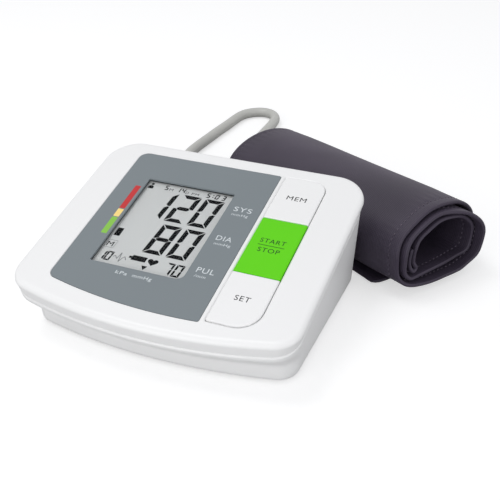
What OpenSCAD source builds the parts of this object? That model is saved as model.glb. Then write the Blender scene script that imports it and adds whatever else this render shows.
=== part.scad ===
// Table-top upper-arm blood pressure monitor with its hose and its rolled cuff.
// Millimetres, +Z up, z = 0 is the table, +Y points to the rear of the monitor.
// The origin is on the table, under the middle of the box round monitor and cuff.

/* [Housing] */
// Width of the housing across its rim
body_w = 152; // [148:1:170]
// Depth of the housing along the table, from the middle of its bowed front to the rear wall
body_d = 127; // [125:1:140]
// Height of the tilted face above the table, halfway along its depth
face_z = 44.2; // [44:0.2:60]
// Tilt of the face, which rises towards the rear
tilt = 13.65; // [11:0.05:15]
// Radius of the bowed front edge
bow = 270; // [250:10:500]
// Radius of the rim's rear corners
rear_r = 18; // [15:0.5:22]
// Radius of the rim's front corners
front_r = 14; // [12:0.5:22]
// Corner radius where the housing meets the table
base_r = 11; // [10:0.5:15]
// Wall of both shells
wall = 2.4; // [2:0.1:2.8]
// Rounding of the edge round the face
edge_r = 2.6; // [2:0.1:4]
// Height of the top shell's rim, down to the seam
rim_h = 8.3; // [7.5:0.1:10]
// How far the rim draws in towards the seam
rim_draft = 1.4; // [0:0.1:2]
// Size of the groove at the seam
seam = 0.6; // [0.3:0.1:0.8]
// Height of the tongue that locates the top shell
lip_h = 1.8; // [1.2:0.1:2.4]
// How far the front wall draws in below the seam
front_in = 12; // [8:0.2:14]
// How far each side wall draws in below the seam
side_in = 4; // [2:0.2:6]
// Rounding round the base
base_round = 1.5; // [1:0.1:2]

/* [Display] */
// Width of the display opening
window_w = 51; // [44:0.1:51.2]
// Height of the display opening, up the slope of the face
window_h = 66.7; // [60:0.1:67]
// Middle of the display opening, sideways from the middle of the face
window_x = -15.9; // [-16:0.1:-14]
// Middle of the display opening, up the slope from the middle of the face
window_v = 3.5; // [2:0.1:3.8]
// Width of the grey panel round the display
panel_w = 84.5; // [82:0.5:85]
// Height of the grey panel, up the slope
panel_h = 110.4; // [107:0.1:112]
// Thickness of the grey panel
panel_t = 1.1; // [1:0.1:1.2]
// Thickness of the clear window behind the panel
lens_t = 0.9; // [0.8:0.1:1]
// Thickness of the foam ring between the window and the display glass
foam_t = 0.5; // [0.5:0.1:0.8]
// Thickness of the display glass
glass_t = 2.2; // [1.8:0.1:2.6]
// How far the display glass reaches past the opening at each side
glass_margin = 3.5; // [2.5:0.1:4]

/* [Keys] */
// Width of the column of keys
keys_w = 24.7; // [22:0.1:25]
// Height of the column of keys, up the slope
keys_h = 108; // [104:0.5:109]
// Height of the start key
start_h = 40.4; // [34:0.1:44]
// Gap round each key
key_gap = 0.35; // [0.25:0.05:0.5]
// How far the keys stand proud of the face
key_proud = 0.6; // [0.4:0.1:1]
// Travel of each key
key_travel = 0.6; // [0.3:0.1:0.8]
// Radius of the posts that the keys slide on
post_r = 1.4; // [1.2:0.1:1.6]

/* [Circuit] */
// Depth of the main board's upper side below the face
board_n = 9; // [8.8:0.1:10]
// Thickness of the main board
board_t = 1.6; // [1:0.1:1.6]
// Side of the square key switches
switch_w = 6; // [5:0.5:7]
// Height of the key switches' cases
switch_h = 3.4; // [3.2:0.1:3.6]

/* [Batteries] */
// Diameter of a cell
cell_d = 14.5; // [14:0.1:14.5]
// Length of a cell, with its nub
cell_l = 50.5; // [49:0.1:50.5]
// Distance between the cells' axes
cell_pitch = 15.4; // [15.2:0.1:16]
// Length of the battery bay, with its contacts
bay_l = 58; // [57.5:0.1:58.5]
// Wall of the battery bay
bay_wall = 1.6; // [1.2:0.1:2]
// Travel of the battery cover before it lifts away
cover_travel = 12; // [8:1:14]

/* [Pump and air] */
// Diameter of the pump
pump_d = 24; // [22:0.5:25]
// Length of the pump motor
motor_l = 28; // [24:0.5:28]
// Length of the pump head
pump_head_l = 20; // [18:0.5:21]
// Height of the air ports above the table
air_z = 26.5; // [26:0.1:28]
// Sideways place of the air socket
air_x = -58; // [-60:0.5:-57]
// Diameter of the exhaust valve
valve_d = 15; // [13:0.5:15]
// Length of the exhaust valve
valve_l = 22; // [18:0.5:24]
// Outer diameter of the silicone tubes inside the housing
tube_d = 7; // [6.5:0.1:7.2]
// Bore of those tubes
tube_bore = 4.9; // [4.4:0.1:5.2]

/* [Hose] */
// Diameter of the hose to the cuff
hose_d = 7.5; // [6.5:0.1:7.5]
// Radius of the air plug's nose
nose_r = 3; // [2.6:0.1:3.2]
// Length of the air plug's nose, inside the socket
nose_l = 11.5; // [8:0.5:12]
// How far the air plug pulls out
plug_travel = 15; // [13:1:18]

/* [Cuff] */
// Width of the cuff's cloth, along the roll
cuff_w = 150; // [120:1:155]
// Thickness of the padded cloth
cuff_t = 3; // [2.6:0.1:4]
// Gap between the laps of the roll
lap_gap = 0.4; // [0.3:0.1:1]
// Number of laps in the roll
laps = 2.84; // [2.3:0.01:2.9]
// Half width of the roll at its near end
near_a = 35; // [32:0.5:38]
// Half height of the roll at its near end
near_b = 24.6; // [23:0.2:30]
// Half width of the roll at its far end
far_a = 35.2; // [32:0.2:38]
// Half height of the roll at its far end
far_b = 21.6; // [21:0.2:26]
// How square the roll's lower half is, where it settles on the table: 1 is an ellipse
settle = 0.6; // [0.55:0.05:1]
// Length of the flat tail under the roll
tail_l = 30; // [10:1:34]
// How far the inner end hangs away from the lap round it
end_slack = 5; // [3:0.5:6]
// Radius of the fold at the inner end, to the cloth's middle
fold_r = 1.6; // [1.6:0.1:2.4]
// Length of the flap that is folded back there, in laps
flap_laps = 0.14; // [0.05:0.01:0.14]
// How far the outermost lap is drawn back from the near end
draw_back = 17; // [0:1:20]

/* [Hidden] */

$fn = 48;
eps = 0.01;

// Where the middle of the housing's footprint lies
home_at = [-29, -59];
// Clearance of a part that drops into a recess, and of one that slides
drop_gap = 0.15;
slide_gap = 0.05;

shell_white = "#f1f1f0";
panel_grey = "#848c90";
key_green = "#62d500";
cloth_grey = "#5a5060";
hose_grey = "#b8b8b4";
steel = "#b4b6b8";
board_green = "#2f6b45";
black = "#26272a";
silicone = "#d8d8d2";

// ---------- Outlines and skins ----------

corner_n = 8;
bow_n = 12;

// Points on a circle from angle a0 to angle a1
function arc(c, r, a0, a1, n) =
  [for (i = [0:n]) let(a = a0 + (a1 - a0) * i / n) c + r * [cos(a), sin(a)]];

// Plan of the housing, counter-clockwise: half width, front and rear edges, corner radii, front radius
function plan(hw, yf, yr, rf, rr, b) =
  let(
    bc = [0, yf + b],
    fx = hw - rf,
    fy = bc.y - sqrt((b - rf) * (b - rf) - fx * fx),
    turn = atan2(fx, bc.y - fy)
  )
  concat(
    arc([fx, fy], rf, turn - 90, 0, corner_n),
    arc([hw - rr, yr - rr], rr, 0, 90, corner_n),
    arc([rr - hw, yr - rr], rr, 90, 180, corner_n),
    arc([-fx, fy], rf, 180, 270 - turn, corner_n),
    [for (i = [1:bow_n - 1]) let(a = 270 - turn + 2 * turn * i / bow_n) bc + b * [cos(a), sin(a)]]
  );

// A plan as a ring of points, at height z0 where y is 0, rising by slope
function ring(outline, z0, slope) = [for (p = outline) [p.x, p.y, z0 + slope * p.y]];

// Polygon corner rounded by an arc of radius r
function rounded_corner(a, b, c, r, n) =
  let(
    u = (a - b) / norm(a - b),
    w = (c - b) / norm(c - b),
    half = acos(u * w) / 2,
    mid = b + (u + w) / norm(u + w) * r / sin(half),
    reach = r / tan(half),
    s = b + u * reach - mid,
    e = b + w * reach - mid,
    turn = atan2(s.x * e.y - s.y * e.x, s * e),
    start = atan2(s.y, s.x)
  )
  [for (i = [0:n]) let(t = start + turn * i / n) mid + r * [cos(t), sin(t)]];

// Rectangle with a radius for each corner: right rear, left rear, left front, right front
function rounded_box(x0, x1, y0, y1, radii) =
  let(c = [[x1, y1], [x0, y1], [x0, y0], [x1, y0]])
  [for (i = [0:3]) each rounded_corner(c[(i + 3) % 4], c[i], c[(i + 1) % 4], max(radii[i], 0.2), 6)];

// Closed skin over rings of equal length, capped at both ends
module skin(rings) {
  n = len(rings[0]);
  m = len(rings);
  points = [for (r = rings) each r];
  polyhedron(points, concat(
    [[for (j = [0:n - 1]) j]],
    [[for (j = [0:n - 1]) (m - 1) * n + n - 1 - j]],
    [for (i = [0:m - 2], j = [0:n - 1]) let(k = (j + 1) % n) [i * n + j, (i + 1) * n + j, (i + 1) * n + k]],
    [for (i = [0:m - 2], j = [0:n - 1]) let(k = (j + 1) % n) [i * n + j, (i + 1) * n + k, i * n + k]]
  ));
}

// Round tube along points, its rings square to the path, turned so that none faces along ref
module sweep(path, r, sides, ref = [0, 0, 1]) {
  last = len(path) - 1;
  skin([for (i = [0:last])
    let(
      t = path[min(i + 1, last)] - path[max(i - 1, 0)],
      a = cross(t, ref) / norm(cross(t, ref)),
      b = cross(a, t) / norm(cross(a, t))
    )
    [for (k = [0:sides - 1]) let(q = 360 * k / sides) path[i] + r * (cos(q) * b + sin(q) * a)]]);
}

module home() {
  translate(home_at) children();
}

// The face's own frame: X sideways, Y up the slope, Z out of the face
module on_face() {
  home() translate([0, 0, face_z]) rotate([tilt, 0, 0]) children();
}

// Cylinder along Y from y0 to y1
module along_y(x, z, r, y0, y1) {
  translate([x, y0, z]) rotate([-90, 0, 0]) cylinder(r = r, h = y1 - y0);
}

// Cylinder along X from x0 to x1
module along_x(y, z, r, x0, x1) {
  translate([x0, y, z]) rotate([0, 90, 0]) cylinder(r = r, h = x1 - x0);
}

// ---------- Housing ----------

mid_y = 1.7;
front_y = mid_y - body_d / 2;
rear_y = mid_y + body_d / 2;
foot_h = 1;
base_z = foot_h;
floor_z = base_z + wall;
slope = tan(tilt);
seam_z = face_z - rim_h;
lip_out = wall / 2;

// Plan of the rim's wall, moved in by e
function rim_plan(e) =
  plan(body_w / 2 - e, front_y + e, rear_y - e, front_r - e, rear_r - e, bow - e);

// Plan at the seam, moved in by e; the flat rear wall has no draft
function seam_plan(e) =
  plan(body_w / 2 - rim_draft - e, front_y + rim_draft + e, rear_y - e, front_r - e, rear_r - e, bow - e);

// Share of front_in reached at t: a shoulder below the seam, then a straighter run to the base
function ogee(t) =
  let(k = min(max((t - 0.05) / 0.62, 0), 1)) 0.86 * k * k * (3 - 2 * k) + 0.14 * t;

// Plan of the lower wall, t from 0 at the seam to 1 at the base: an ogee in front, a straight draft aside
function lower_plan(t, e) =
  plan(
    body_w / 2 - rim_draft - side_in * t - e,
    front_y + rim_draft + front_in * ogee(t) + e,
    rear_y - e,
    front_r + (base_r - front_r) * t - e,
    rear_r + (base_r - rear_r) * t - e,
    bow - e
  );

function lower_ring(t, e) =
  ring(lower_plan(t, e), seam_z * (1 - t) + base_z * t, slope * (1 - t));

wall_steps = [0.12, 0.25, 0.38, 0.5, 0.62, 0.75, 0.88];
edge_steps = [0, 22.5, 45, 67.5, 90];

// Screws that join the shells
screw_at = [[body_w / 2 - 10.5, front_y + 36], [body_w / 2 - 10.5, rear_y - 26]];
post_top = 14;
boss_r = 3.2;
screw_post_r = 4.4;
screw_r = 1.25;
screw_head_r = 2.8;
screw_head_h = 2.2;
screw_seat_z = 7;
screw_tip_z = 22;

foot_r = 5;
foot_sink = 0.8;
foot_at = [[body_w / 2 - 26, front_y + 25], [body_w / 2 - 26, rear_y - 11]];

module each_corner(at) {
  for (p = at, side = [-1, 1]) translate([side * p.x, p.y, 0]) children();
}

// Bosses for the main board, in the face's frame
board_screw_at = [[-47, -40.3], [-47, 47.3], [20.5, -40.3], [20.5, 47.3]];
board_boss_r = 2.6;
board_screw_r = 1;

module top_shell() {
  color(shell_white) difference() {
    union() {
      home() skin(concat(
        [ring(rim_plan(wall + 1), face_z - wall, slope)],
        [ring(rim_plan(wall), face_z - wall - 1, slope)],
        [ring(seam_plan(wall), seam_z + lip_h, slope)],
        [ring(seam_plan(lip_out), seam_z + lip_h, slope)],
        [ring(seam_plan(lip_out), seam_z, slope)],
        [ring(seam_plan(seam), seam_z, slope)],
        [ring(seam_plan(0), seam_z + seam, slope)],
        [for (a = edge_steps)
          ring(rim_plan(edge_r * (1 - cos(a))), face_z - edge_r * (1 - sin(a)), slope)]
      ));
      home() for (p = screw_at, side = [-1, 1]) translate([side * p.x, p.y, post_top])
        cylinder(r = boss_r, h = seam_z + rim_h - wall / 2 + slope * (p.y - boss_r) - post_top);
      on_face() {
        for (p = board_screw_at) translate([p.x, p.y, -board_n])
          cylinder(r = board_boss_r, h = board_n - wall + 0.5);
        for (v = key_mid, x = post_x) translate([x, v, -board_n + 0.3])
          cylinder(r = post_r, h = board_n - wall + 0.2);
      }
    }
    home() each_corner(screw_at) {
      translate([0, 0, post_top - eps]) cylinder(r = screw_r + slide_gap, h = 9.5);
    }
    on_face() {
      translate([0, 0, -panel_t]) linear_extrude(panel_t + 1) polygon(panel_outline(-drop_gap));
      translate([0, 0, -wall - 1]) linear_extrude(wall + 2)
        square_at(window_x, window_v, window_w + 4, window_h + 4);
      translate([0, 0, -wall - 1]) linear_extrude(wall + 2) polygon(keys_outline(0));
      for (p = board_screw_at) translate([p.x, p.y, -board_n - eps])
        cylinder(r = board_screw_r + slide_gap, h = 6);
    }
  }
}

module square_at(x, y, w, h) {
  translate([x - w / 2, y - h / 2]) square([w, h]);
}

bay_w = 3 * cell_pitch + cell_d + 7.7;
bay_y0 = rear_y - 6 - bay_l;
bay_y1 = rear_y - 6;
cell_z = floor_z + 0.2 + cell_d / 2;
bay_top = cell_z + cell_d / 2 + 1.3;
bay_rib_h = 3.3;
cover_w = bay_w - 4;
tongue_w = bay_w - 0.4;
tongue_t = 1.1;
tongue_z = floor_z - tongue_t;

pump_x = bay_w / 2 + bay_wall + 1.2 + pump_d / 2;
pump_z = floor_z + 2 + pump_d / 2;
pump_y0 = front_y + 56;
pump_y1 = pump_y0 + motor_l;
pump_y2 = pump_y1 + pump_head_l;

manifold_y = 26;
valve_y1 = manifold_y - 17;
valve_y0 = valve_y1 - valve_l;

module bottom_shell() {
  color(shell_white) difference() {
    union() {
      home() skin(concat(
        [ring(lower_plan(1, base_round), base_z, 0)],
        [ring(lower_plan(1, base_round * 0.3), base_z + base_round * 0.3, 0)],
        [ring(lower_plan(0.97, 0), base_z + base_round, 0)],
        [for (i = [len(wall_steps) - 1:-1:0]) lower_ring(wall_steps[i], 0)],
        [ring(seam_plan(0), seam_z - seam, slope)],
        [ring(seam_plan(seam), seam_z, slope)],
        [ring(seam_plan(lip_out + drop_gap), seam_z, slope)],
        [ring(seam_plan(lip_out + drop_gap), seam_z + lip_h - drop_gap, slope)],
        [ring(seam_plan(wall + drop_gap), seam_z + lip_h - drop_gap, slope)],
        [for (t = wall_steps) lower_ring(t, wall)],
        [ring(lower_plan(0.94, wall), floor_z, 0)]
      ));
      home() {
        each_corner(screw_at) translate([0, 0, base_z + 0.5])
          cylinder(r = screw_post_r, h = post_top - base_z - 0.5);
        battery_bay();
        saddles();
      }
    }
    home() {
      each_corner(screw_at) {
        cylinder(r = screw_r + 0.35, h = post_top + 1);
        translate([0, 0, -eps]) cylinder(r = screw_head_r + 0.2, h = screw_seat_z + 2 * eps);
      }
      each_corner(foot_at) cylinder(r = foot_r + 0.1, h = base_z + foot_sink);
      battery_opening();
      along_y(air_x, air_z, socket_r + 0.1, rear_y - 6, rear_y + 1);
    }
  }
}

// Box over the cells, open towards the cover, with ribs between the cells
module battery_bay() {
  difference() {
    translate([-bay_w / 2 - bay_wall, bay_y0 - bay_wall, base_z + 1])
      cube([bay_w + 2 * bay_wall, bay_l + bay_wall + 5, bay_top + bay_wall - base_z - 1]);
    translate([-bay_w / 2, bay_y0, base_z]) cube([bay_w, bay_l, bay_top - base_z]);
  }
  for (i = [-1:1]) translate([i * cell_pitch - 0.3, bay_y0 - eps, bay_top - bay_rib_h])
    cube([0.6, bay_l + 2 * eps, bay_rib_h + 0.5]);
}

// The cover's way: the plate's slot below, the tongues' wider slot above
module battery_opening() {
  translate([-cover_w / 2 - drop_gap, bay_y0, base_z - 1])
    cube([cover_w + 2 * drop_gap, bay_l + 20, wall + 1]);
  translate([-tongue_w / 2 - drop_gap, bay_y0, tongue_z - drop_gap])
    cube([tongue_w + 2 * drop_gap, bay_l + 20, tongue_t + drop_gap + eps]);
}

saddle_t = 2;

// Ribs that carry the pump and the exhaust valve
module saddles() {
  difference() {
    union() {
      for (y = [pump_y0 + 3, pump_y1 - 5]) translate([pump_x - pump_d / 2 + 1, y, base_z + 1])
        cube([pump_d - 2, saddle_t, pump_z - base_z - 6]);
      for (y = [valve_y0 + 3, valve_y1 - 5]) translate([air_x - valve_d / 2 + 2, y, base_z + 1])
        cube([valve_d - 4, saddle_t, air_z - base_z - 3]);
      translate([clamp_x, clamp_y, base_z + 1]) cylinder(r = 2.8, h = pump_z - base_z - 1);
    }
    along_y(pump_x, pump_z, pump_d / 2 + drop_gap, pump_y0 - 5, pump_y1);
    along_y(air_x, air_z, valve_d / 2 + drop_gap, valve_y0 - 5, valve_y1);
    translate([clamp_x, clamp_y, pump_z - 8]) cylinder(r = 0.9 + slide_gap, h = 9);
  }
}

module feet() {
  color(black) home() each_corner(foot_at) {
    translate([0, 0, 0.4]) cylinder(r = foot_r, h = base_z + foot_sink - 0.4);
    cylinder(r1 = foot_r - 0.4, r2 = foot_r, h = 0.4);
  }
}

module housing_screws() {
  color(steel) home() each_corner(screw_at) difference() {
    union() {
      translate([0, 0, screw_seat_z - screw_head_h]) cylinder(r = screw_head_r, h = screw_head_h);
      translate([0, 0, screw_seat_z]) cylinder(r = screw_r, h = screw_tip_z - screw_seat_z - 1);
      translate([0, 0, screw_tip_z - 1]) cylinder(r1 = screw_r, r2 = 0.5, h = 1);
    }
    for (a = [0, 90]) rotate(a)
      translate([-1.6, -0.35, screw_seat_z - screw_head_h - 1]) cube([3.2, 0.7, 2]);
  }
}

// ---------- Display ----------

panel_x0 = -56.3;
panel_v1 = 57.7;
panel_bow_x = 6.5;

// Grey panel: straight at the top, bowed below like the housing's front edge
function panel_outline(e) =
  let(
    x0 = panel_x0 + e,
    x1 = panel_x0 + panel_w - e,
    v1 = panel_v1 - e,
    v0 = panel_v1 - panel_h + e,
    low = function(x) v0 + bow - sqrt(bow * bow - (x - panel_bow_x) ^ 2),
    steps = 10,
    bottom = [for (i = [1:steps - 1]) let(x = x0 + (x1 - x0) * i / steps) [x, low(x)]]
  )
  concat(
    rounded_corner([x1, low(x1)], [x1, v1], [x0, v1], 1.2, 4),
    rounded_corner([x1, v1], [x0, v1], [x0, low(x0)], 5 - e, 6),
    rounded_corner([x0, v1], [x0, low(x0)], bottom[0], 5 - e, 6),
    bottom,
    rounded_corner(bottom[steps - 2], [x1, low(x1)], [x1, v1], 1.2, 4)
  );

module display_panel() {
  color(panel_grey) on_face() difference() {
    translate([0, 0, -panel_t]) linear_extrude(panel_t - 0.1) polygon(panel_outline(0));
    translate([0, 0, -panel_t - 1]) linear_extrude(panel_t + 2) polygon(rounded_box(
      window_x - window_w / 2, window_x + window_w / 2, window_v - window_h / 2,
      window_v + window_h / 2, [0.6, 0.6, 0.6, 4]));
  }
}

lens_n = -panel_t - lens_t;
glass_n1 = lens_n - foam_t;
glass_n0 = glass_n1 - glass_t;
glass_w = window_w + 2 * glass_margin;
glass_h = window_h + 10;
frame_wall = 2;

module display_window() {
  color([0.85, 0.9, 0.92, 0.35]) on_face() translate([0, 0, lens_n]) linear_extrude(lens_t)
    square_at(window_x, window_v, window_w + 4 - 2 * drop_gap, window_h + 4 - 2 * drop_gap);
}

module display_foam() {
  color(black) on_face() translate([0, 0, glass_n1]) linear_extrude(foam_t) difference() {
    square_at(window_x, window_v, window_w + 4 - 2 * drop_gap, window_h + 4 - 2 * drop_gap);
    square_at(window_x, window_v, window_w + 1, window_h + 1);
  }
}

module display_glass() {
  color("#d2d2d2") on_face() translate([0, 0, glass_n0]) {
    linear_extrude(glass_t / 2) square_at(window_x, window_v, glass_w, glass_h);
    translate([0, 0, glass_t / 2]) linear_extrude(glass_t / 2)
      square_at(window_x, window_v, glass_w, glass_h - 5);
  }
}

strip_w = 2.2;
strip_v = glass_h / 2 - 1.6;

module display_frame() {
  color("white") on_face() difference() {
    translate([0, 0, -board_n]) linear_extrude(board_n + glass_n1 - 0.1)
      square_at(window_x, window_v, glass_w + 2 * frame_wall, glass_h + 2 * frame_wall);
    translate([0, 0, glass_n0]) linear_extrude(board_n)
      square_at(window_x, window_v, glass_w + 2 * drop_gap, glass_h + 2 * drop_gap);
    translate([0, 0, -board_n - 1]) linear_extrude(board_n)
      square_at(window_x, window_v, window_w, window_h - 2);
    for (side = [-1, 1]) translate([0, 0, -board_n - 1]) linear_extrude(board_n)
      square_at(window_x, window_v + side * strip_v, window_w + 2 * drop_gap, strip_w + 2 * drop_gap);
  }
}

module display_connectors() {
  color("#e8a0a0") on_face() for (side = [-1, 1])
    translate([0, 0, -board_n]) linear_extrude(board_n + glass_n0)
      square_at(window_x, window_v + side * strip_v, window_w, strip_w);
}

// ---------- Keys ----------

keys_x0 = 30.6;
keys_x1 = keys_x0 + keys_w;
keys_v1 = 57.6;
keys_v0 = keys_v1 - keys_h;
start_v1 = 23.3;
start_v0 = start_v1 - start_h;
key_mid = [(start_v1 + keys_v1) / 2, (start_v0 + start_v1) / 2, (keys_v0 + start_v0) / 2];
post_x = [keys_x0 - 3.1, keys_x1 + 3.2];
keys_radii = [8, 1, 1, 12];

function keys_outline(e) =
  rounded_box(keys_x0 + e, keys_x1 - e, keys_v0 + e, keys_v1 - e, keys_radii - e * [1, 1, 1, 1]);

flange_t = 1.2;
flange_n = -wall - drop_gap - flange_t;
plunger_n = -board_n + switch_h + key_travel + 0.6;

// One key: its cap, the flange that holds it in, the ears on the posts beside mid and the pad below
module key(mid, v0, v1, radii) {
  ring_at = function(e, n) [for (p = rounded_box(keys_x0 + key_gap + e, keys_x1 - key_gap - e,
    v0 + e, v1 - e, radii - e * [1, 1, 1, 1])) [p.x, p.y, n]];
  difference() {
    union() {
      skin([ring_at(0, flange_n + 0.5), ring_at(0, key_proud - 0.5), ring_at(0.15, key_proud - 0.15),
        ring_at(0.5, key_proud)]);
      translate([keys_x0 - 1.2, v0 + 0.3, flange_n]) cube([keys_w + 2.4, v1 - v0 - 0.6, flange_t]);
      translate([post_x[0], mid - 3, flange_n]) cube([post_x[1] - post_x[0], 6, flange_t]);
      for (x = post_x) translate([x, mid, flange_n]) cylinder(r = 3, h = flange_t);
      translate([(keys_x0 + keys_x1) / 2, mid, plunger_n])
        cylinder(r = 2.4, h = flange_n - plunger_n + 0.5);
    }
    for (x = post_x) translate([x, mid, flange_n - 1]) cylinder(r = post_r + slide_gap, h = flange_t + 2);
  }
}

module mem_key() {
  color(shell_white) on_face()
    key(key_mid[0], start_v1 + key_gap / 2, keys_v1 - key_gap, [7.6, 0.8, 0.2, 0.2]);
}

module start_key() {
  color(key_green) on_face()
    key(key_mid[1], start_v0 + key_gap / 2, start_v1 - key_gap / 2, [0.3, 0.3, 0.3, 0.3]);
}

module set_key() {
  color(shell_white) on_face()
    key(key_mid[2], keys_v0 + key_gap, start_v0 - key_gap / 2, [0.2, 0.2, 0.8, 11.6]);
}

plunger_r = 1.75;
plunger_l = 3.4;

module key_switch(k) {
  color(black) on_face() translate([(keys_x0 + keys_x1) / 2, key_mid[k], -board_n]) difference() {
    translate([-switch_w / 2, -switch_w / 2, 0]) cube([switch_w, switch_w, switch_h]);
    translate([0, 0, 0.5]) cylinder(r = plunger_r + slide_gap, h = switch_h);
  }
}

module switch_plunger(k) {
  color("#c8b070") on_face() translate([(keys_x0 + keys_x1) / 2, key_mid[k], plunger_n - plunger_l])
    cylinder(r = plunger_r, h = plunger_l);
}

module mem_switch() { key_switch(0); }
module start_switch() { key_switch(1); }
module set_switch() { key_switch(2); }
module mem_plunger() { switch_plunger(0); }
module start_plunger() { switch_plunger(1); }
module set_plunger() { switch_plunger(2); }

// ---------- Circuit board ----------

board_x0 = -49.8;
board_x1 = 57;
board_v0 = -43.5;
board_v1 = 50;

module main_board() {
  color(board_green) on_face() translate([0, 0, -board_n - board_t]) difference() {
    translate([board_x0, board_v0, 0]) cube([board_x1 - board_x0, board_v1 - board_v0, board_t]);
    for (p = board_screw_at) translate([p.x, p.y, -1]) cylinder(r = board_screw_r + 0.2, h = board_t + 2);
  }
}

module board_screws() {
  color(steel) on_face() for (p = board_screw_at) translate([p.x, p.y, -board_n - board_t]) {
    translate([0, 0, -1.4]) cylinder(r = 2, h = 1.4);
    cylinder(r = board_screw_r, h = board_t + 5);
  }
}

// A flat part under the board, its middle at x, v
module under_board(x, v, size) {
  translate([x - size.x / 2, v - size.y / 2, -board_n - board_t - size.z]) cube(size);
}

module processor_chip() {
  color(black) on_face() under_board(6, 8, [12, 12, 1.4]);
}

module memory_chip() {
  color(black) on_face() under_board(24, 10, [5, 4, 1.4]);
}

module crystal() {
  color(steel) on_face() under_board(6, -6, [8, 3.2, 2.4]);
}

sensor_x = -34;
sensor_v = 23.6;
sensor_n = -13;

module pressure_sensor() {
  color(black) on_face() {
    under_board(sensor_x, sensor_v, [10, 10, 4.4]);
    along_x(sensor_v, sensor_n, 1.6, sensor_x - 11, sensor_x - 4);
  }
}

module buzzer() {
  color(black) on_face() translate([30, -26, -board_n - board_t - 4.5]) difference() {
    cylinder(r = 6, h = 4.5);
    translate([0, 0, -1]) cylinder(r = 1, h = 3);
  }
}

module capacitors() {
  color("#3c4c70") on_face() for (p = [[-10, -22], [-1, -22], [8, -22]])
    translate([p.x, p.y, -board_n - board_t - 6]) cylinder(r = 2.5, h = 6);
}

// ---------- Batteries ----------

contact_t = 0.4;
cell_x = [for (i = [0:3]) (i - 1.5) * cell_pitch];
cell_y = bay_y1 - contact_t - 0.1;
nub_l = 1.3;

// Cell k: the odd ones point their nub to the rear, the even ones to the front
module cell(k) {
  x = cell_x[k - 1];
  color("#4a5a6c") home() if (k % 2 == 1) {
    along_y(x, cell_z, cell_d / 2, cell_y - cell_l, cell_y - nub_l);
    along_y(x, cell_z, 2.75, cell_y - nub_l - eps, cell_y);
  } else {
    y = bay_y0 + contact_t + 0.1;
    along_y(x, cell_z, 2.75, y, y + nub_l + eps);
    along_y(x, cell_z, cell_d / 2, y + nub_l, y + cell_l);
  }
}

module cell_1() { cell(1); }
module cell_2() { cell(2); }
module cell_3() { cell(3); }
module cell_4() { cell(4); }

// Plates that link the cells in series: pairs at the rear, a pair and two singles in front
module contact_plates() {
  w = 12;
  color(steel) home() {
    for (i = [0, 2]) translate([cell_x[i] - w / 2, bay_y1 - contact_t, cell_z - 5])
      cube([cell_pitch + w, contact_t, 10]);
    for (i = [0, 3]) translate([cell_x[i] - w / 2, bay_y0, cell_z - 5]) cube([w, contact_t, 10]);
    translate([cell_x[1] - w / 2, bay_y0, cell_z - 5]) cube([cell_pitch + w, contact_t, 10]);
  }
}

spring_l = bay_l - cell_l - 2 * contact_t - 0.3;
spring_coils = 6;

module battery_springs() {
  color(steel) home() for (i = [0:3])
    if (i % 2 == 0) along_y_at(cell_x[i], bay_y0 + contact_t, 1) spring_body();
    else along_y_at(cell_x[i], bay_y1 - contact_t, -1) spring_body();
}

module along_y_at(x, y, way) {
  translate([x, y, cell_z]) rotate([-90 * way, 0, 0]) children();
}

// The spring as a turned cone of touching coils
module spring_body() {
  rotate_extrude() polygon(concat(
    [for (i = [0:spring_coils]) [5.4 - 0.45 * i, spring_l * i / spring_coils]],
    [for (i = [spring_coils:-1:0]) [4.4 - 0.45 * i, spring_l * i / spring_coils]]
  ));
}

grip_ribs = 5;

module battery_cover() {
  y0 = bay_y0 + drop_gap;
  plate_l = rear_y - y0;
  color(shell_white) home() difference() {
    union() {
      translate([-cover_w / 2, y0, base_z]) cube([cover_w, plate_l, wall]);
      translate([-tongue_w / 2, y0, tongue_z]) cube([tongue_w, plate_l, tongue_t]);
    }
    for (i = [0:grip_ribs - 1]) translate([-9, rear_y - 20 + 3 * i, base_z - 1]) cube([18, 1.4, 1.6]);
  }
}

// ---------- Pump ----------

shaft_r = 1;
throw = 1;
eccentric_r = 4;
armature_r = 7.4;
strap_t = 0.8;
strap_w = 6;
clamp_x = pump_x + pump_d / 2 + 4.2;
clamp_y = pump_y0 + 14;

module pump_motor() {
  color(steel) home() difference() {
    along_y(pump_x, pump_z, pump_d / 2, pump_y0, pump_y1);
    along_y(pump_x, pump_z, pump_d / 2 - 1, pump_y0 + 2, pump_y1 - 2);
    along_y(pump_x, pump_z, shaft_r + slide_gap, pump_y0 - 1, pump_y1 + 1);
  }
}

module motor_magnets() {
  color(black) home() difference() {
    along_y(pump_x, pump_z, pump_d / 2 - 1, pump_y0 + 3, pump_y1 - 3);
    along_y(pump_x, pump_z, pump_d / 2 - 3.6, pump_y0 + 2, pump_y1 - 2);
    translate([pump_x - 2, pump_y0, pump_z - pump_d]) cube([4, motor_l, 2 * pump_d]);
  }
}

module pump_shaft() {
  color(steel) home() along_y(pump_x, pump_z, shaft_r, pump_y0 - 1.5, pump_y1 + 10);
}

module motor_armature() {
  color("#a86838") home() difference() {
    along_y(pump_x, pump_z, armature_r, pump_y0 + 5, pump_y1 - 5);
    along_y(pump_x, pump_z, shaft_r, pump_y0 + 4, pump_y1 - 4);
  }
}

module pump_eccentric() {
  color("#d8d8d0") home() difference() {
    along_y(pump_x, pump_z + throw, eccentric_r, pump_y1 + 3, pump_y1 + 9);
    along_y(pump_x, pump_z, shaft_r, pump_y1 + 2, pump_y1 + 10.5);
  }
}

port_y = manifold_y;
port_r = tube_bore / 2 - slide_gap;

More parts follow.
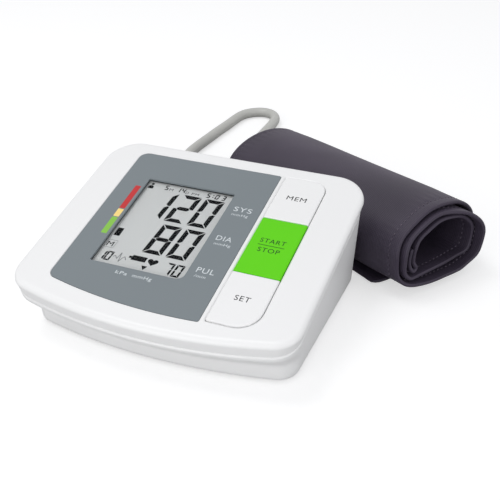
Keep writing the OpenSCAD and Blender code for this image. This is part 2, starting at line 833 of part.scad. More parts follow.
module pump_head() {
  color(black) home() difference() {
    union() {
      along_y(pump_x, pump_z, pump_d / 2, pump_y1, pump_y2);
      along_x(port_y, air_z, port_r, pump_x - pump_d / 2 - 6, pump_x);
    }
    along_y(pump_x, pump_z, eccentric_r + throw + 1.5, pump_y1 - 1, pump_y1 + 11);
  }
}

// Strap over the motor: one foot screwed to the post aside, the other under the bay's edge
module pump_clamp() {
  y0 = clamp_y - strap_w / 2;
  color(steel) home() difference() {
    union() {
      difference() {
        along_y(pump_x, pump_z, pump_d / 2 + 0.1 + strap_t, y0, y0 + strap_w);
        translate([pump_x - pump_d, y0 - 1, pump_z - pump_d]) cube([2 * pump_d, strap_w + 2, pump_d]);
      }
      translate([pump_x + pump_d / 2, y0, pump_z]) cube([7, strap_w, strap_t]);
    }
    along_y(pump_x, pump_z, pump_d / 2 + 0.1, y0 - 1, y0 + strap_w + 1);
    translate([clamp_x, clamp_y, pump_z - 1]) cylinder(r = 1.2, h = 4);
  }
}

module clamp_screw() {
  color(steel) home() translate([clamp_x, clamp_y, pump_z + strap_t]) {
    cylinder(r = 1.9, h = 1.4);
    translate([0, 0, -6 - strap_t]) cylinder(r = 0.9, h = 6 + strap_t);
  }
}

// ---------- Air path ----------

socket_r = 5.5;
socket_l = nose_l + 2.5;
barb_l = 7;
manifold_r = 4.2;
manifold_l = 6;

module air_socket() {
  color(shell_white) home() difference() {
    union() {
      along_y(air_x, air_z, socket_r, rear_y - socket_l, rear_y + 0.2);
      along_y(air_x, air_z, socket_r + 1.6, rear_y, rear_y + 1.2);
      along_y(air_x, air_z, port_r, rear_y - socket_l - barb_l, rear_y - socket_l);
    }
    along_y(air_x, air_z, nose_r + slide_gap, rear_y - socket_l + 2, rear_y + 3);
    along_y(air_x, air_z, 1.2, rear_y - socket_l - barb_l - 1, rear_y);
  }
}

// Block that joins the air paths: socket behind, valve in front, pump aside, sensor above
module air_manifold() {
  color(black) home() union() {
    along_y(air_x, air_z, manifold_r, manifold_y - manifold_l / 2, manifold_y + manifold_l / 2);
    along_y(air_x, air_z, port_r, manifold_y - manifold_l / 2 - barb_l, manifold_y + manifold_l / 2 + barb_l);
    along_x(manifold_y, air_z, port_r, air_x, air_x + manifold_r + barb_l);
    translate([air_x, manifold_y, air_z]) cylinder(r = port_r * 0.6, h = manifold_r + 3);
  }
}

module tube_y(y0, y1) {
  difference() {
    along_y(air_x, air_z, tube_d / 2, y0, y1);
    along_y(air_x, air_z, tube_bore / 2, y0 - 1, y1 + 1);
  }
}

module socket_tube() {
  color(silicone) home() tube_y(manifold_y + manifold_l / 2 + 0.3, rear_y - socket_l - 0.3);
}

module valve_tube() {
  color(silicone) home() tube_y(valve_y1 + 0.3, manifold_y - manifold_l / 2 - 0.3);
}

module pump_tube() {
  color(silicone) home() difference() {
    along_x(port_y, air_z, tube_d / 2, air_x + manifold_r + 0.5, pump_x - pump_d / 2 - 0.2);
    along_x(port_y, air_z, tube_bore / 2, air_x, pump_x);
  }
}

module sensor_tube() {
  top = [air_x, manifold_y, air_z + manifold_r + 3];
  y = sensor_v * cos(tilt) - sensor_n * sin(tilt);
  z = face_z + sensor_v * sin(tilt) + sensor_n * cos(tilt);
  color(silicone) home() sweep([top, [air_x, y, top.z + 1.2], [air_x + 2, y, z - 1.2],
    [air_x + 5.5, y, z], [sensor_x - 11, y, z]], 1.9, 8, [0, 1, 0]);
}

valve_pin_r = 2.5;
valve_gap = 1;

module exhaust_valve() {
  color(steel) home() difference() {
    union() {
      along_y(air_x, air_z, valve_d / 2, valve_y0, valve_y1);
      along_y(air_x, air_z, port_r, valve_y1, valve_y1 + barb_l - 0.5);
    }
    along_y(air_x, air_z, valve_pin_r + slide_gap, valve_y0 - 1, valve_y1 - 3);
  }
}

module valve_plunger() {
  color("#c0b080") home() along_y(air_x, air_z, valve_pin_r, valve_y0 - 2, valve_y1 - 3.2);
}

// ---------- Plug ----------

plug_r = 6.2;
plug_y0 = rear_y + 1.2 + 0.1;
plug_y1 = plug_y0 + 18;
hose_seat = 6;

module air_plug() {
  color(panel_grey) home() difference() {
    union() {
      along_y(air_x, air_z, nose_r, rear_y - nose_l, plug_y0 + 1);
      along_y(air_x, air_z, plug_r, plug_y0, plug_y0 + 3);
      along_y(air_x, air_z, plug_r - 1, plug_y0 + 2, plug_y1);
      for (i = [0:3]) along_y(air_x, air_z, plug_r - 0.5, plug_y0 + 5 + 2.6 * i, plug_y0 + 6.2 + 2.6 * i);
    }
    along_y(air_x, air_z, 1.2, rear_y - nose_l - 1, plug_y1);
    along_y(air_x, air_z, hose_d / 2 + slide_gap, plug_y1 - hose_seat, plug_y1 + 1);
  }
}

// ---------- Cuff and hose ----------

// Where the roll's axis meets the table at its near end, and the way it points
cuff_near = [118, 70];
cuff_turn = -30;
lap_step = cuff_t + lap_gap;

// Cloth's mid-line at lap u from the outer end, w from the far end (0) to the near end (1); u < 0 is the tail
function cuff_mid(u, w) =
  let(
    q = -90 + 360 * u,
    k = sin(q) < 0 ? settle : 1,
    hang = min(max((u - laps) / 0.45 + 1, 0), 1),
    slack = end_slack * hang * hang * (3 - 2 * hang),
    a = far_a + (near_a - far_a) * w - cuff_t / 2 - lap_step * u - slack,
    b = far_b + (near_b - far_b) * w,
    rb = b - cuff_t / 2 - lap_step * u - 0.3 * slack,
    shift = 0.8 + 1.2 * w
  )
  u < 0
    ? [shift + u * tail_l * (0.65 + 0.35 * w), cuff_t / 2]
    : [shift + a * sign(cos(q)) * pow(abs(cos(q)), k), b + rb * sign(sin(q)) * pow(abs(sin(q)), k)];

// Near edge of the cloth at lap u, in shares of draw_back
cuff_edge_at = [[-1, -1.5], [0, -1], [0.25, -0.6], [0.5, -0.58], [0.75, -0.42], [0.9, -0.3],
  [1.05, -0.03], [1.25, 0.06], [1.5, -0.34], [1.75, -0.3], [2.25, -0.3], [2.8, -0.35]];
function cuff_edge(u) = draw_back * lookup(u, cuff_edge_at);

// Stations along the cloth: the lap, and the share of the fold's half turn that is behind
cuff_lap_n = 22;
cuff_at = concat(
  [for (u = [-1, -0.5, 0]) [u, 0]],
  [for (i = [1:ceil(laps * cuff_lap_n) - 1]) [i / cuff_lap_n, 0]],
  [for (f = [0:0.25:1]) [laps, f]],
  [for (f = [0.35, 0.7, 1]) [laps - f * flap_laps, 1]]
);
cuff_run = [0, 0.02, 0.35, 0.65, 0.98, 1];

// Point on the cloth: station i, side -1 or 1, share w of the way from the far edge to the near edge
function cuff_point(i, side, w) =
  let(
    u = cuff_at[i][0],
    fold = 180 * cuff_at[i][1],
    step = cuff_mid(u + 0.01, w) - cuff_mid(u - 0.01, w),
    d = step / norm(step),
    out = [d.y, -d.x],
    turned = out * cos(fold) - d * sin(fold),
    edge = w == 0 || w == 1 ? 0.5 : 1,
    tip = i == 0 || i == len(cuff_at) - 1 ? 0.5 : 1,
    c = cuff_mid(u, w) + fold_r * (out - turned) + turned * side * edge * tip * cuff_t / 2
  )
  [cuff_edge(u) - cuff_w * (1 - w), c.x, c.y];

module at_cuff() {
  home() translate([cuff_near.x, cuff_near.y, 0]) rotate(cuff_turn) children();
}

module cuff_wrap() {
  n = len(cuff_run);
  color(cloth_grey) at_cuff() skin([for (i = [0:len(cuff_at) - 1]) concat(
    [for (j = [n - 1:-1:0]) cuff_point(i, 1, cuff_run[j])],
    [for (w = cuff_run) cuff_point(i, -1, w)]
  )]);
}

nozzle_p = 12;
nozzle_z = 6;
nozzle_l = 12;
nozzle_s = cuff_edge(0) - cuff_w;

// Point on the nozzle's axis, d outside the end of the hose
function hose_end(d) =
  let(s = nozzle_s - 5 - d, c = cos(cuff_turn), k = sin(cuff_turn))
  [cuff_near.x + s * c - nozzle_p * k, cuff_near.y + s * k + nozzle_p * c, nozzle_z];

module cuff_nozzle() {
  color(panel_grey) at_cuff() difference() {
    along_x(nozzle_p, nozzle_z, hose_d / 2 + 1.4, nozzle_s - nozzle_l, nozzle_s);
    along_x(nozzle_p, nozzle_z, hose_d / 2 + slide_gap, nozzle_s - nozzle_l - 1, nozzle_s - 5);
  }
}

// The hose's way from the plug: down to the table, one loop behind the monitor, round and into the roll
hose_route = [
  [-58, plug_y1 - hose_seat, 26.5], [-58, plug_y1 + 2, 26.5], [-58, 95, 24.6], [-57.5, 103, 20.4],
  [-57, 111.5, 15], [-59, 120.5, 10], [-64.5, 129.5, 6], [-73, 136.5, 4.2], [-84, 139.5, 3.8],
  [-95, 138, 3.8], [-105, 132.5, 3.8], [-112.5, 123.5, 3.8], [-115.5, 112, 3.8],
  [-113.5, 100.5, 3.8], [-107.5, 90, 3.8], [-98.5, 83, 3.8], [-87, 80.5, 3.8], [-75.5, 82, 3.8],
  [-65, 87, 3.8], [-56, 95, 3.8], [-50.5, 105, 3.8], [-48.5, 116, 3.8], [-49.5, 127.5, 3.8],
  [-53.5, 138, 3.8], [-61, 146.5, 3.8], [-71, 152, 3.8], [-80, 158.5, 3.8], [-85.5, 168, 3.8],
  [-87, 180, 3.8], [-86.5, 194, 3.8], [-85.5, 208, 3.8], [-84.5, 222, 3.8], [-83, 238, 3.8],
  [-82, 252, 3.8], [-79.5, 261.5, 3.8], [-73.5, 268.5, 3.8], [-66.5, 271.3, 3.8],
  [-59.5, 269.5, 3.8], [-54, 263, 3.8], [-51.5, 252.5, 3.8], [-50.8, 239, 3.8],
  [-50.4, 225, 3.8], [-50, 211, 3.9], [-49.4, 200, 4.2], [-47.8, 190, 4.8], [-44.5, 181.5, 5.4],
  [-39, 175, 5.9], for (s = [6, 0]) hose_end(s)
];

module air_hose() {
  color(hose_grey) home() sweep(hose_route, hose_d / 2, 10);
}

top_shell();
bottom_shell();
display_panel();
display_window();
display_foam();
display_glass();
display_frame();
display_connectors();
main_board();
processor_chip();
memory_chip();
pressure_sensor();
buzzer();
crystal();
capacitors();
board_screws();
mem_switch();
start_switch();
set_switch();
mem_plunger();
start_plunger();
set_plunger();
mem_key();
start_key();
set_key();
pump_motor();
motor_magnets();
pump_shaft();
motor_armature();
pump_eccentric();
pump_head();
pump_clamp();
clamp_screw();
exhaust_valve();
valve_plunger();
air_manifold();
air_socket();
socket_tube();
pump_tube();
valve_tube();
sensor_tube();
contact_plates();
battery_springs();
cell_1();
cell_2();
cell_3();
cell_4();
battery_cover();
feet();
housing_screws();
air_plug();
air_hose();
cuff_nozzle();
cuff_wrap();
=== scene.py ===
"""Looks of a table-top blood pressure monitor with its air hose and rolled arm cuff.

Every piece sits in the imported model's own frame: metres, +Z up, +Y to the rear of the monitor.
"""

import math

import bmesh
import bpy
import numpy as np
from mathutils import Matrix, Vector


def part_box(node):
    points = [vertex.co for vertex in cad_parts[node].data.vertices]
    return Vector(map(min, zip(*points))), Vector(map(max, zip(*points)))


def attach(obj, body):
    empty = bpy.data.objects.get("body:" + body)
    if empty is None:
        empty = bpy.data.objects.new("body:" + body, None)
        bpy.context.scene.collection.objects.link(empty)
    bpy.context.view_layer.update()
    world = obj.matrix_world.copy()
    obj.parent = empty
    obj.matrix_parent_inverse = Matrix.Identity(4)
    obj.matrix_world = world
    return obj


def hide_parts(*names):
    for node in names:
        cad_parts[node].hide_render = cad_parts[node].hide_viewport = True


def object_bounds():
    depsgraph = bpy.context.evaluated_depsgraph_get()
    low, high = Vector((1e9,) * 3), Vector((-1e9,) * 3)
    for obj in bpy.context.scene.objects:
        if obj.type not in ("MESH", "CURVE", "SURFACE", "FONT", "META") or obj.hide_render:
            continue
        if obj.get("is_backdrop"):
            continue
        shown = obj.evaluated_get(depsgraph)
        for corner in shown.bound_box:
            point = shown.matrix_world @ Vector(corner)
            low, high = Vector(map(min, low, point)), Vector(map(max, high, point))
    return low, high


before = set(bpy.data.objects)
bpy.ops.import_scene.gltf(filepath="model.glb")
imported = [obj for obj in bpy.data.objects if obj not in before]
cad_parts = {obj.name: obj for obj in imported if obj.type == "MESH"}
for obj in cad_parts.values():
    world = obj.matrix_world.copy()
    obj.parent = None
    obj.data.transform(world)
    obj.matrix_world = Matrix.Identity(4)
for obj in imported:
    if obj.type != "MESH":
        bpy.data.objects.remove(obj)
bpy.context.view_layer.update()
MM = 0.001

# ---------- Camera ----------
# The photograph is taken from in front and to the right, looking 30 degrees down at the monitor.
camera_place = np.array([139.4, -387.2, 251.4]) * MM
camera_azimuth = 22.43
camera_elevation = 30.38
camera_lens = 60.2  # mm, on a 36 mm sensor



def added(name, data):
    """New object in the scene."""
    made = bpy.data.objects.new(name, data)
    bpy.context.scene.collection.objects.link(made)
    return made


camera = added("camera", bpy.data.cameras.new("camera"))
camera.data.lens = camera_lens
camera.data.sensor_width = 36
camera.location = camera_place
turn, rise = math.radians(camera_azimuth), math.radians(camera_elevation)
sight = Vector((-math.sin(turn) * math.cos(rise), math.cos(turn) * math.cos(rise), -math.sin(rise)))
camera.rotation_euler = sight.to_track_quat("-Z", "Y").to_euler()
bpy.context.scene.camera = camera

# ---------- Table and light ----------
# A white studio table under three soft boxes: one overhead to the left, one low in front and
# one low to the right. The camera sees the paper lifted to white, but the object is lit by its own tone.


def linear(hex_colour):
    """sRGB hex to linear red, green, blue and alpha 1."""
    c = [int(hex_colour[i : i + 2], 16) / 255 for i in (1, 3, 5)]
    return [x / 12.92 if x <= 0.04045 else ((x + 0.055) / 1.055) ** 2.4 for x in c] + [1.0]


def node(tree, kind, links=(), **settings):
    """Adds a shader node. Settings name its sockets, with _ for a space, or its own properties; links are
    (socket, output) pairs."""
    made = tree.nodes.new(kind)
    for key, value in settings.items():
        if hasattr(made, key):
            setattr(made, key, value)
        else:
            made.inputs[key.replace("_", " ")].default_value = value
    for socket, output in links:
        tree.links.new(output, made.inputs[socket])
    return made


def new_material(name):
    """An empty node material: its tree and its output node."""
    made = bpy.data.materials.new(name)
    made.use_nodes = True
    made.node_tree.nodes.clear()
    return made, made.node_tree, made.node_tree.nodes.new("ShaderNodeOutputMaterial")


reach = 6.0
table_drop = 0.0002  # below the feet, so that no faces coincide
table_top = bpy.data.meshes.new("table")
table_top.from_pydata([(x * reach, y * reach, 0) for x, y in ((-1, -1), (1, -1), (1, 1), (-1, 1))],
                      [], [(0, 1, 2, 3)])
table = added("table", table_top)
table.location.z = -table_drop
table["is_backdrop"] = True

paper, tree, out = new_material("white paper sweep")
seen = node(tree, "ShaderNodeLightPath")
card = node(tree, "ShaderNodeBsdfDiffuse", Color=linear("#C6C6C6"))
lift = node(tree, "ShaderNodeEmission", Color=linear("#FFFFFF"), Strength=0.56)
lifted = node(tree, "ShaderNodeAddShader", [(0, card.outputs[0]), (1, lift.outputs[0])])
sweep_mix = node(tree, "ShaderNodeMixShader",
                 [(0, seen.outputs["Is Camera Ray"]), (1, card.outputs[0]), (2, lifted.outputs[0])])
tree.links.new(sweep_mix.outputs[0], out.inputs[0])
table_top.materials.append(paper)

world = bpy.data.worlds.new("studio")
bpy.context.scene.world = world
world.use_nodes = True
tree = world.node_tree
tree.nodes.clear()
seen = node(tree, "ShaderNodeLightPath")
direct = node(tree, "ShaderNodeMath",
              [(0, seen.outputs["Is Camera Ray"]), (1, seen.outputs["Is Glossy Ray"])], operation="MAXIMUM")
direct = node(tree, "ShaderNodeMath", [(0, direct.outputs[0]), (1, seen.outputs["Is Transmission Ray"])],
              operation="MAXIMUM")
room = node(tree, "ShaderNodeBackground", Color=linear("#FAFBFF"), Strength=0.55)
white = node(tree, "ShaderNodeBackground", Color=linear("#FFFFFF"), Strength=1.0)
both = node(tree, "ShaderNodeMixShader",
            [(0, direct.outputs[0]), (1, room.outputs[0]), (2, white.outputs[0])])
node(tree, "ShaderNodeOutputWorld", [(0, both.outputs[0])])

soft_boxes = {  # place, width and power
    "overhead": ((-0.38, -0.06, 1.1), 0.5, 3.4),  # clear of the display's mirror direction
    "front": ((-0.3, -1.0, 0.34), 0.7, 3.3),
    "right": ((0.95, -0.45, 0.22), 0.6, 2.4),
}
for name, (place, width, power) in soft_boxes.items():
    lamp = bpy.data.lights.new(name, "AREA")
    lamp.size = width
    lamp.energy = power
    soft_box = added(name, lamp)
    soft_box.location = place
    soft_box.rotation_euler = (-Vector(place)).to_track_quat("-Z", "Y").to_euler()

bpy.context.scene.view_settings.view_transform = "Standard"

# ---------- Air hose ----------
# Extruded grey PVC tube, 7.5 mm thick, pressed into its plug behind the monitor and into the cuff's
# nozzle. It drops to the table, makes one loop beside the rear wall and a narrow bend behind the roll.
home = np.array([-29.0, -59.0, 0.0])
hose_d = 7.5
plug_seat_y, plug_mouth_y = 78.5, 86.5
cuff_turn = math.radians(-30)
cuff_near = np.array([118.0, 70.0])
cuff_axis = np.array([math.cos(cuff_turn), math.sin(cuff_turn)])
cuff_side = np.array([-math.sin(cuff_turn), math.cos(cuff_turn)])
nozzle_s, nozzle_p, nozzle_z = -167.0, 12.0, 6.0


def hose_end(d):
    """Point on the nozzle's axis, d outside the end of the hose."""
    x, y = cuff_near + (nozzle_s - 5 - d) * cuff_axis + nozzle_p * cuff_side
    return [x, y, nozzle_z]


hose_route = [
    [-58, plug_seat_y, 26.5], [-58, plug_mouth_y, 26.5], [-58, 95, 24.6], [-57.5, 103, 20.4],
    [-57, 111.5, 15], [-59, 120.5, 10], [-64.5, 129.5, 6], [-73, 136.5, 4.2], [-84, 139.5, 3.8],
    [-95, 138, 3.8], [-105, 132.5, 3.8], [-112.5, 123.5, 3.8], [-115.5, 112, 3.8],
    [-113.5, 100.5, 3.8], [-107.5, 90, 3.8], [-98.5, 83, 3.8], [-87, 80.5, 3.8], [-75.5, 82, 3.8],
    [-65, 87, 3.8], [-56, 95, 3.8], [-50.5, 105, 3.8], [-48.5, 116, 3.8], [-49.5, 127.5, 3.8],
    [-53.5, 138, 3.8], [-61, 146.5, 3.8], [-71, 152, 3.8], [-80, 158.5, 3.8], [-85.5, 168, 3.8],
    [-87, 180, 3.8], [-86.5, 194, 3.8], [-85.5, 208, 3.8], [-84.5, 222, 3.8], [-83, 238, 3.8],
    [-82, 252, 3.8], [-79.5, 261.5, 3.8], [-73.5, 268.5, 3.8], [-66.5, 271.3, 3.8],
    [-59.5, 269.5, 3.8], [-54, 263, 3.8], [-51.5, 252.5, 3.8], [-50.8, 239, 3.8],
    [-50.4, 225, 3.8], [-50, 211, 3.9], [-49.4, 200, 4.2], [-47.8, 190, 4.8], [-44.5, 181.5, 5.4],
    [-39, 175, 5.9], hose_end(6), hose_end(0),
]


def smooth_path(points, steps):
    """Cubic spline through the points, with the chords' lengths as its parameter and free ends."""
    p = np.array(points, float)
    t = np.concatenate([[0], np.cumsum(np.linalg.norm(np.diff(p, axis=0), axis=1))])
    h, n = np.diff(t), len(p)
    a, b = np.eye(n), np.zeros((n, 3))
    inner = np.arange(1, n - 1)
    a[inner, inner - 1], a[inner, inner], a[inner, inner + 1] = h[:-1], 2 * (h[:-1] + h[1:]), h[1:]
    slope = np.diff(p, axis=0) / h[:, None]
    b[1:-1] = 6 * np.diff(slope, axis=0)
    m = np.linalg.solve(a, b)
    at = np.linspace(0, t[-1], steps)
    k = np.clip(np.searchsorted(t, at, "right") - 1, 0, n - 2)
    u, w, g = (at - t[k])[:, None], (t[k + 1] - at)[:, None], h[k][:, None]
    return ((m[k] * w**3 + m[k + 1] * u**3) / (6 * g)
            + (p[k] / g - m[k] * g / 6) * w + (p[k + 1] / g - m[k + 1] * g / 6) * u)


def grid_mesh(name, grid, wrap=True, caps=True, uv=None):
    """Object with one quad between each four neighbours of a grid of points (rows, columns, 3), in metres.
    wrap joins the last column to the first; caps closes the first and the last row."""
    rows, cols = grid.shape[:2]
    at = np.arange(rows * cols).reshape(rows, cols)
    if wrap:
        at = np.concatenate([at, at[:, :1]], 1)
    quads = np.stack([at[:-1, :-1], at[:-1, 1:], at[1:, 1:], at[1:, :-1]], -1).reshape(-1, 4)
    faces = quads.tolist()
    if caps:
        faces += [at[0, :cols][::-1].tolist(), at[-1, :cols].tolist()]
    mesh = bpy.data.meshes.new(name)
    mesh.from_pydata(grid.reshape(-1, 3).tolist(), [], faces)
    if uv is not None:
        index = np.zeros(len(mesh.loops), int)
        mesh.loops.foreach_get("vertex_index", index)
        layer = mesh.uv_layers.new(name="cloth")
        layer.data.foreach_set("uv", uv.reshape(-1, 2)[index].ravel())
    return added(name, mesh)


def smooth(obj, angle=35):
    """Shades smooth, with a crease wherever two faces meet at more than angle degrees."""
    obj.data.polygons.foreach_set("use_smooth", np.ones(len(obj.data.polygons), bool))
    obj.data.set_sharp_from_angle(angle=math.radians(angle))


def outward(obj, merge=0.0):
    """Merges points closer than merge and turns all faces outwards."""
    shape = bmesh.new()
    shape.from_mesh(obj.data)
    if merge:
        bmesh.ops.remove_doubles(shape, verts=shape.verts, dist=merge)
    bmesh.ops.recalc_face_normals(shape, faces=shape.faces)
    shape.to_mesh(obj.data)
    shape.free()


def tube(name, path, radius, sides):
    """Round tube: circles square to the path, their first axis level with the table."""
    along = np.gradient(path, axis=0)
    along /= np.linalg.norm(along, axis=1)[:, None]
    level = np.cross(along, [0, 0, 1])
    level /= np.linalg.norm(level, axis=1)[:, None]
    over = np.cross(level, along)
    q = np.linspace(0, 2 * np.pi, sides, endpoint=False)[None, :, None]
    grid = path[:, None] + radius * (np.cos(q) * over[:, None] + np.sin(q) * level[:, None])
    made = grid_mesh(name, grid)
    outward(made)
    smooth(made, 60)
    return made


hose_path = (smooth_path(hose_route, 700) + home) * MM
hose = tube("hose_tube", hose_path, hose_d / 2 * MM, 24)


def toned(name, low, high, scale, detail=2.0, **finish):
    """Material that drifts between two linear colours with a noise of that scale; finish sets its shader."""
    made, tree, out = new_material(name)
    place = node(tree, "ShaderNodeTexCoord")
    drift = node(tree, "ShaderNodeTexNoise", [("Vector", place.outputs["Object"])], Scale=scale, Detail=detail)
    tint = node(tree, "ShaderNodeMix", [("Factor", drift.outputs["Fac"])], data_type="RGBA")
    tint.inputs[6].default_value = low
    tint.inputs[7].default_value = high
    body = node(tree, "ShaderNodeBsdfPrincipled", [("Base Color", tint.outputs[2])], **finish)
    tree.links.new(body.outputs[0], out.inputs[0])
    return made


# PVC tube: smooth and slightly waxy, with faint cloudiness from the extruder.
hose.data.materials.append(toned("extruded PVC tube", linear("#B9B9B4"), linear("#C4C4BF"), 90.0, 3.0,
                                 Roughness=0.42, IOR=1.52))

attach(hose, "cuff_set")
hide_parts("air_hose")

# ---------- Rolled cuff ----------
# Padded nylon wrap, rolled nearly three times round and laid on its flattened tail, with the inner end
# folded back on itself. The cloth is a fine ribbed taffeta over the air bladder; both long edges are
# thinner hems held by one row of stitches.
cuff_w, cuff_t, hem_t, lap_gap, laps = 150.0, 3.0, 2.1, 0.4, 2.84
near_a, near_b, far_a, far_b = 35.0, 24.6, 35.2, 21.6
settle, tail_l, draw_back = 0.6, 30.0, 17.0
end_slack, fold_r, flap_laps = 5.0, 1.6, 0.14
lap_step = cuff_t + lap_gap
edge_laps = [-1, 0, 0.25, 0.5, 0.75, 0.9, 1.05, 1.25, 1.5, 1.75, 2.25, 2.8]
edge_share = [-1.5, -1, -0.6, -0.58, -0.42, -0.3, -0.03, 0.06, -0.34, -0.3, -0.3, -0.35]
near_hem, far_hem, groove = 6.5, 4.0, 0.3


def ease(x, start, end):
    """0 before start, 1 after end, smooth between."""
    t = np.clip((x - start) / (end - start), 0, 1)
    return t * t * (3 - 2 * t)


def bump(x, middle, width):
    """Smooth hill of height 1 at middle, 0 beyond width at either side."""
    return ease(width - np.abs(x - middle), 0, width)


def cuff_middle(u, w):
    """Cloth's mid-line across and up the roll at lap u from the outer end: a flattened spiral whose radii
    shrink by one lap_step a lap, squarer below, with a straight tail for u < 0. w is 0 far, 1 near. The
    inner end hangs free, and near the mouth the inner lap buckles up off the lap below it."""
    q = np.radians(-90 + 360 * u)
    k = np.where(np.sin(q) < 0, settle, 1.0)
    slack = end_slack * ease(u, laps - 0.45, laps)
    a = far_a + (near_a - far_a) * w - cuff_t / 2 - lap_step * u - slack
    b = far_b + (near_b - far_b) * w
    mouth = ease(w, 0.72, 1)
    buckle = mouth * (2.4 * bump(u, 2.03, 0.17) - 0.5 * bump(u, 2.34, 0.12) + 0.5 * bump(u, 1.36, 0.14))
    rb = b - cuff_t / 2 - lap_step * u - 0.3 * slack - buckle
    shift = 0.8 + 1.2 * w
    cos_q, sin_q = np.cos(q), np.sin(q)
    x = shift + a * np.sign(cos_q) * np.abs(cos_q) ** k
    z = b + rb * np.sign(sin_q) * np.abs(sin_q) ** k
    tail = u < 0
    x = np.where(tail, shift + u * tail_l * (0.65 + 0.35 * w), x)
    return np.stack([x, np.where(tail, cuff_t / 2, z)], -1)


def cuff_frame(u, w, fold):
    """The mid-line, the cloth's outward normal and the near edge's place along the roll. fold turns the
    cloth back on itself, outwards, by up to half a turn of radius fold_r."""
    middle = cuff_middle(u, w)
    d = cuff_middle(u + 0.004, w) - cuff_middle(u - 0.004, w)
    d /= np.linalg.norm(d, axis=-1, keepdims=True)
    out_way = np.stack([d[..., 1], -d[..., 0]], -1)
    turned = out_way * np.cos(fold)[..., None] - d * np.sin(fold)[..., None]
    return middle + fold_r * (out_way - turned), turned, draw_back * np.interp(u, edge_laps, edge_share)


def cuff_place(s, cross):
    """Row-frame points, in metres, from s along the roll and (across, up) in its cross-section."""
    flat = cuff_near + s[..., None] * cuff_axis + cross[..., :1] * cuff_side
    return (np.concatenate([flat, cross[..., 1:]], -1) + home) * MM


def cuff_surface(u, across, side, fold):
    """Point of the cloth at lap u, across mm from its far edge, side from -1 (inner) to 1 (outer).
    The cloth thins towards its hems, dips at their stitch rows and has faint puckers beside them; over
    the bladder it swells and dimples a little."""
    w = across / cuff_w
    middle, out_way, edge = cuff_frame(u, w, fold)
    near_side = cuff_w - across
    dip = groove * (bump(near_side, near_hem, 1.8) + bump(across, far_hem, 1.5))
    thick = hem_t + (cuff_t - hem_t) * ease(np.minimum(near_side, across + 4), 8, 26)
    swell = 0.12 * np.sin(2 * np.pi * (u * 7 + 0.5 * np.sin(4 * w) + 1.3 * w)) * bump(w, 0.5, 0.46)
    pucker = 0.1 * np.sin(2 * np.pi * u * 41 + 2 * np.sin(9 * u)) * (
        bump(near_side, near_hem + 3, 9) + bump(across, far_hem + 3, 8))
    half = thick / 2 - dip + (swell + pucker) * (u > 0.02)
    cross = middle + out_way * (side * half)[..., None]
    cross[..., 1] = np.maximum(cross[..., 1], 0.05)
    sway = 0.5 * np.sin(2 * np.pi * u * 2.3 + 1) + 0.25 * np.sin(2 * np.pi * u * 7.1)
    return cuff_place(edge - cuff_w + across + sway * ease(w, 0.8, 1), cross)


def cuff_section(count):
    """Loop round the cloth's section: across and side for the outer face, the near edge, the inner
    face and the far edge, the edges as half ellipses nearly one hem thickness deep."""
    deep = hem_t * 0.5
    run = 0.65 * np.linspace(0, 1, count) + 0.35 * (0.5 - 0.5 * np.cos(np.linspace(0, np.pi, count)))
    turn_at = np.radians(np.linspace(90, -90, 9)[1:-1])
    face = deep + run * (cuff_w - 2 * deep)
    across = np.concatenate([face, cuff_w - deep + deep * np.cos(turn_at), face[::-1],
                             deep - deep * np.cos(turn_at)])
    side = np.concatenate([np.ones(count), np.sin(turn_at), -np.ones(count), -np.sin(turn_at)])
    return across, side


lap_at = np.concatenate([np.linspace(-1, 0, 14)[:-1], np.linspace(0, laps, 470), np.full(14, laps),
                         laps - np.linspace(0, flap_laps, 30)[1:]])
fold_at = np.concatenate([np.zeros(483), np.linspace(0, np.pi, 15)[1:], np.full(29, np.pi)])
across_at, side_at = cuff_section(80)
stations = np.arange(len(lap_at))
row, across_grid = np.meshgrid(stations, across_at, indexing="ij")
u_grid, fold_grid = lap_at[row], fold_at[row]
tip = np.minimum(1, np.minimum(stations / 2, (len(lap_at) - 1 - stations) / 3))
side_grid = side_at[None, :] * np.sqrt(np.clip(1 - (1 - tip) ** 2, 0.03, 1))[:, None]
points = cuff_surface(u_grid, across_grid, side_grid, fold_grid)
mid_run = cuff_frame(lap_at, np.full_like(lap_at, 0.5), fold_at)[0]
run_length = np.concatenate([[0], np.cumsum(np.linalg.norm(np.diff(mid_run, axis=0), axis=1))])
cloth_uv = np.stack([run_length[row], across_grid + 200 * (side_grid < 0)], -1) * MM
cuff = grid_mesh("cuff_cloth", points, uv=cloth_uv)
outward(cuff)
smooth(cuff, 60)

# Nylon taffeta: fine ribs round the roll, drawn 1.1 mm apart because the real 0.4 mm ones are too fine
# to show, crossed by a fainter weft; deep grey-violet dye with a soft sheen, and broad uneven patches of
# painted sheen and pucker shade laid over it at random.
cloth_look, tree, out = new_material("ribbed nylon taffeta")
place = node(tree, "ShaderNodeUVMap", uv_map="cloth")
spot = node(tree, "ShaderNodeTexCoord")
ribs = node(tree, "ShaderNodeTexWave", [("Vector", place.outputs["UV"])], wave_type="BANDS",
            bands_direction="Y", Scale=0.314 / 0.0011, Distortion=0.5, Detail=1.0)
threads = node(tree, "ShaderNodeTexWave", [("Vector", place.outputs["UV"])], wave_type="BANDS",
               bands_direction="X", Scale=0.314 / 0.0008, Distortion=0.8, Detail=1.0)
weft = node(tree, "ShaderNodeMath", [(0, threads.outputs["Fac"])], operation="MULTIPLY")
weft.inputs[1].default_value = 0.4
weave = node(tree, "ShaderNodeMath", [(0, ribs.outputs["Fac"]), (1, weft.outputs[0])], operation="ADD")
# Painted sheen and pucker shade: a broad noise lightens and darkens the cloth's colour in patches.
painted_sheen_noise = node(tree, "ShaderNodeTexNoise", [("Vector", spot.outputs["Object"])], Scale=22.0, Detail=3.0)
painted_sheen_patches = node(tree, "ShaderNodeMath", [(0, painted_sheen_noise.outputs["Fac"])], operation="MULTIPLY")
painted_sheen_patches.inputs[1].default_value = 2.2
shade = node(tree, "ShaderNodeMath", [(0, weave.outputs[0]), (1, painted_sheen_patches.outputs[0])], operation="ADD")
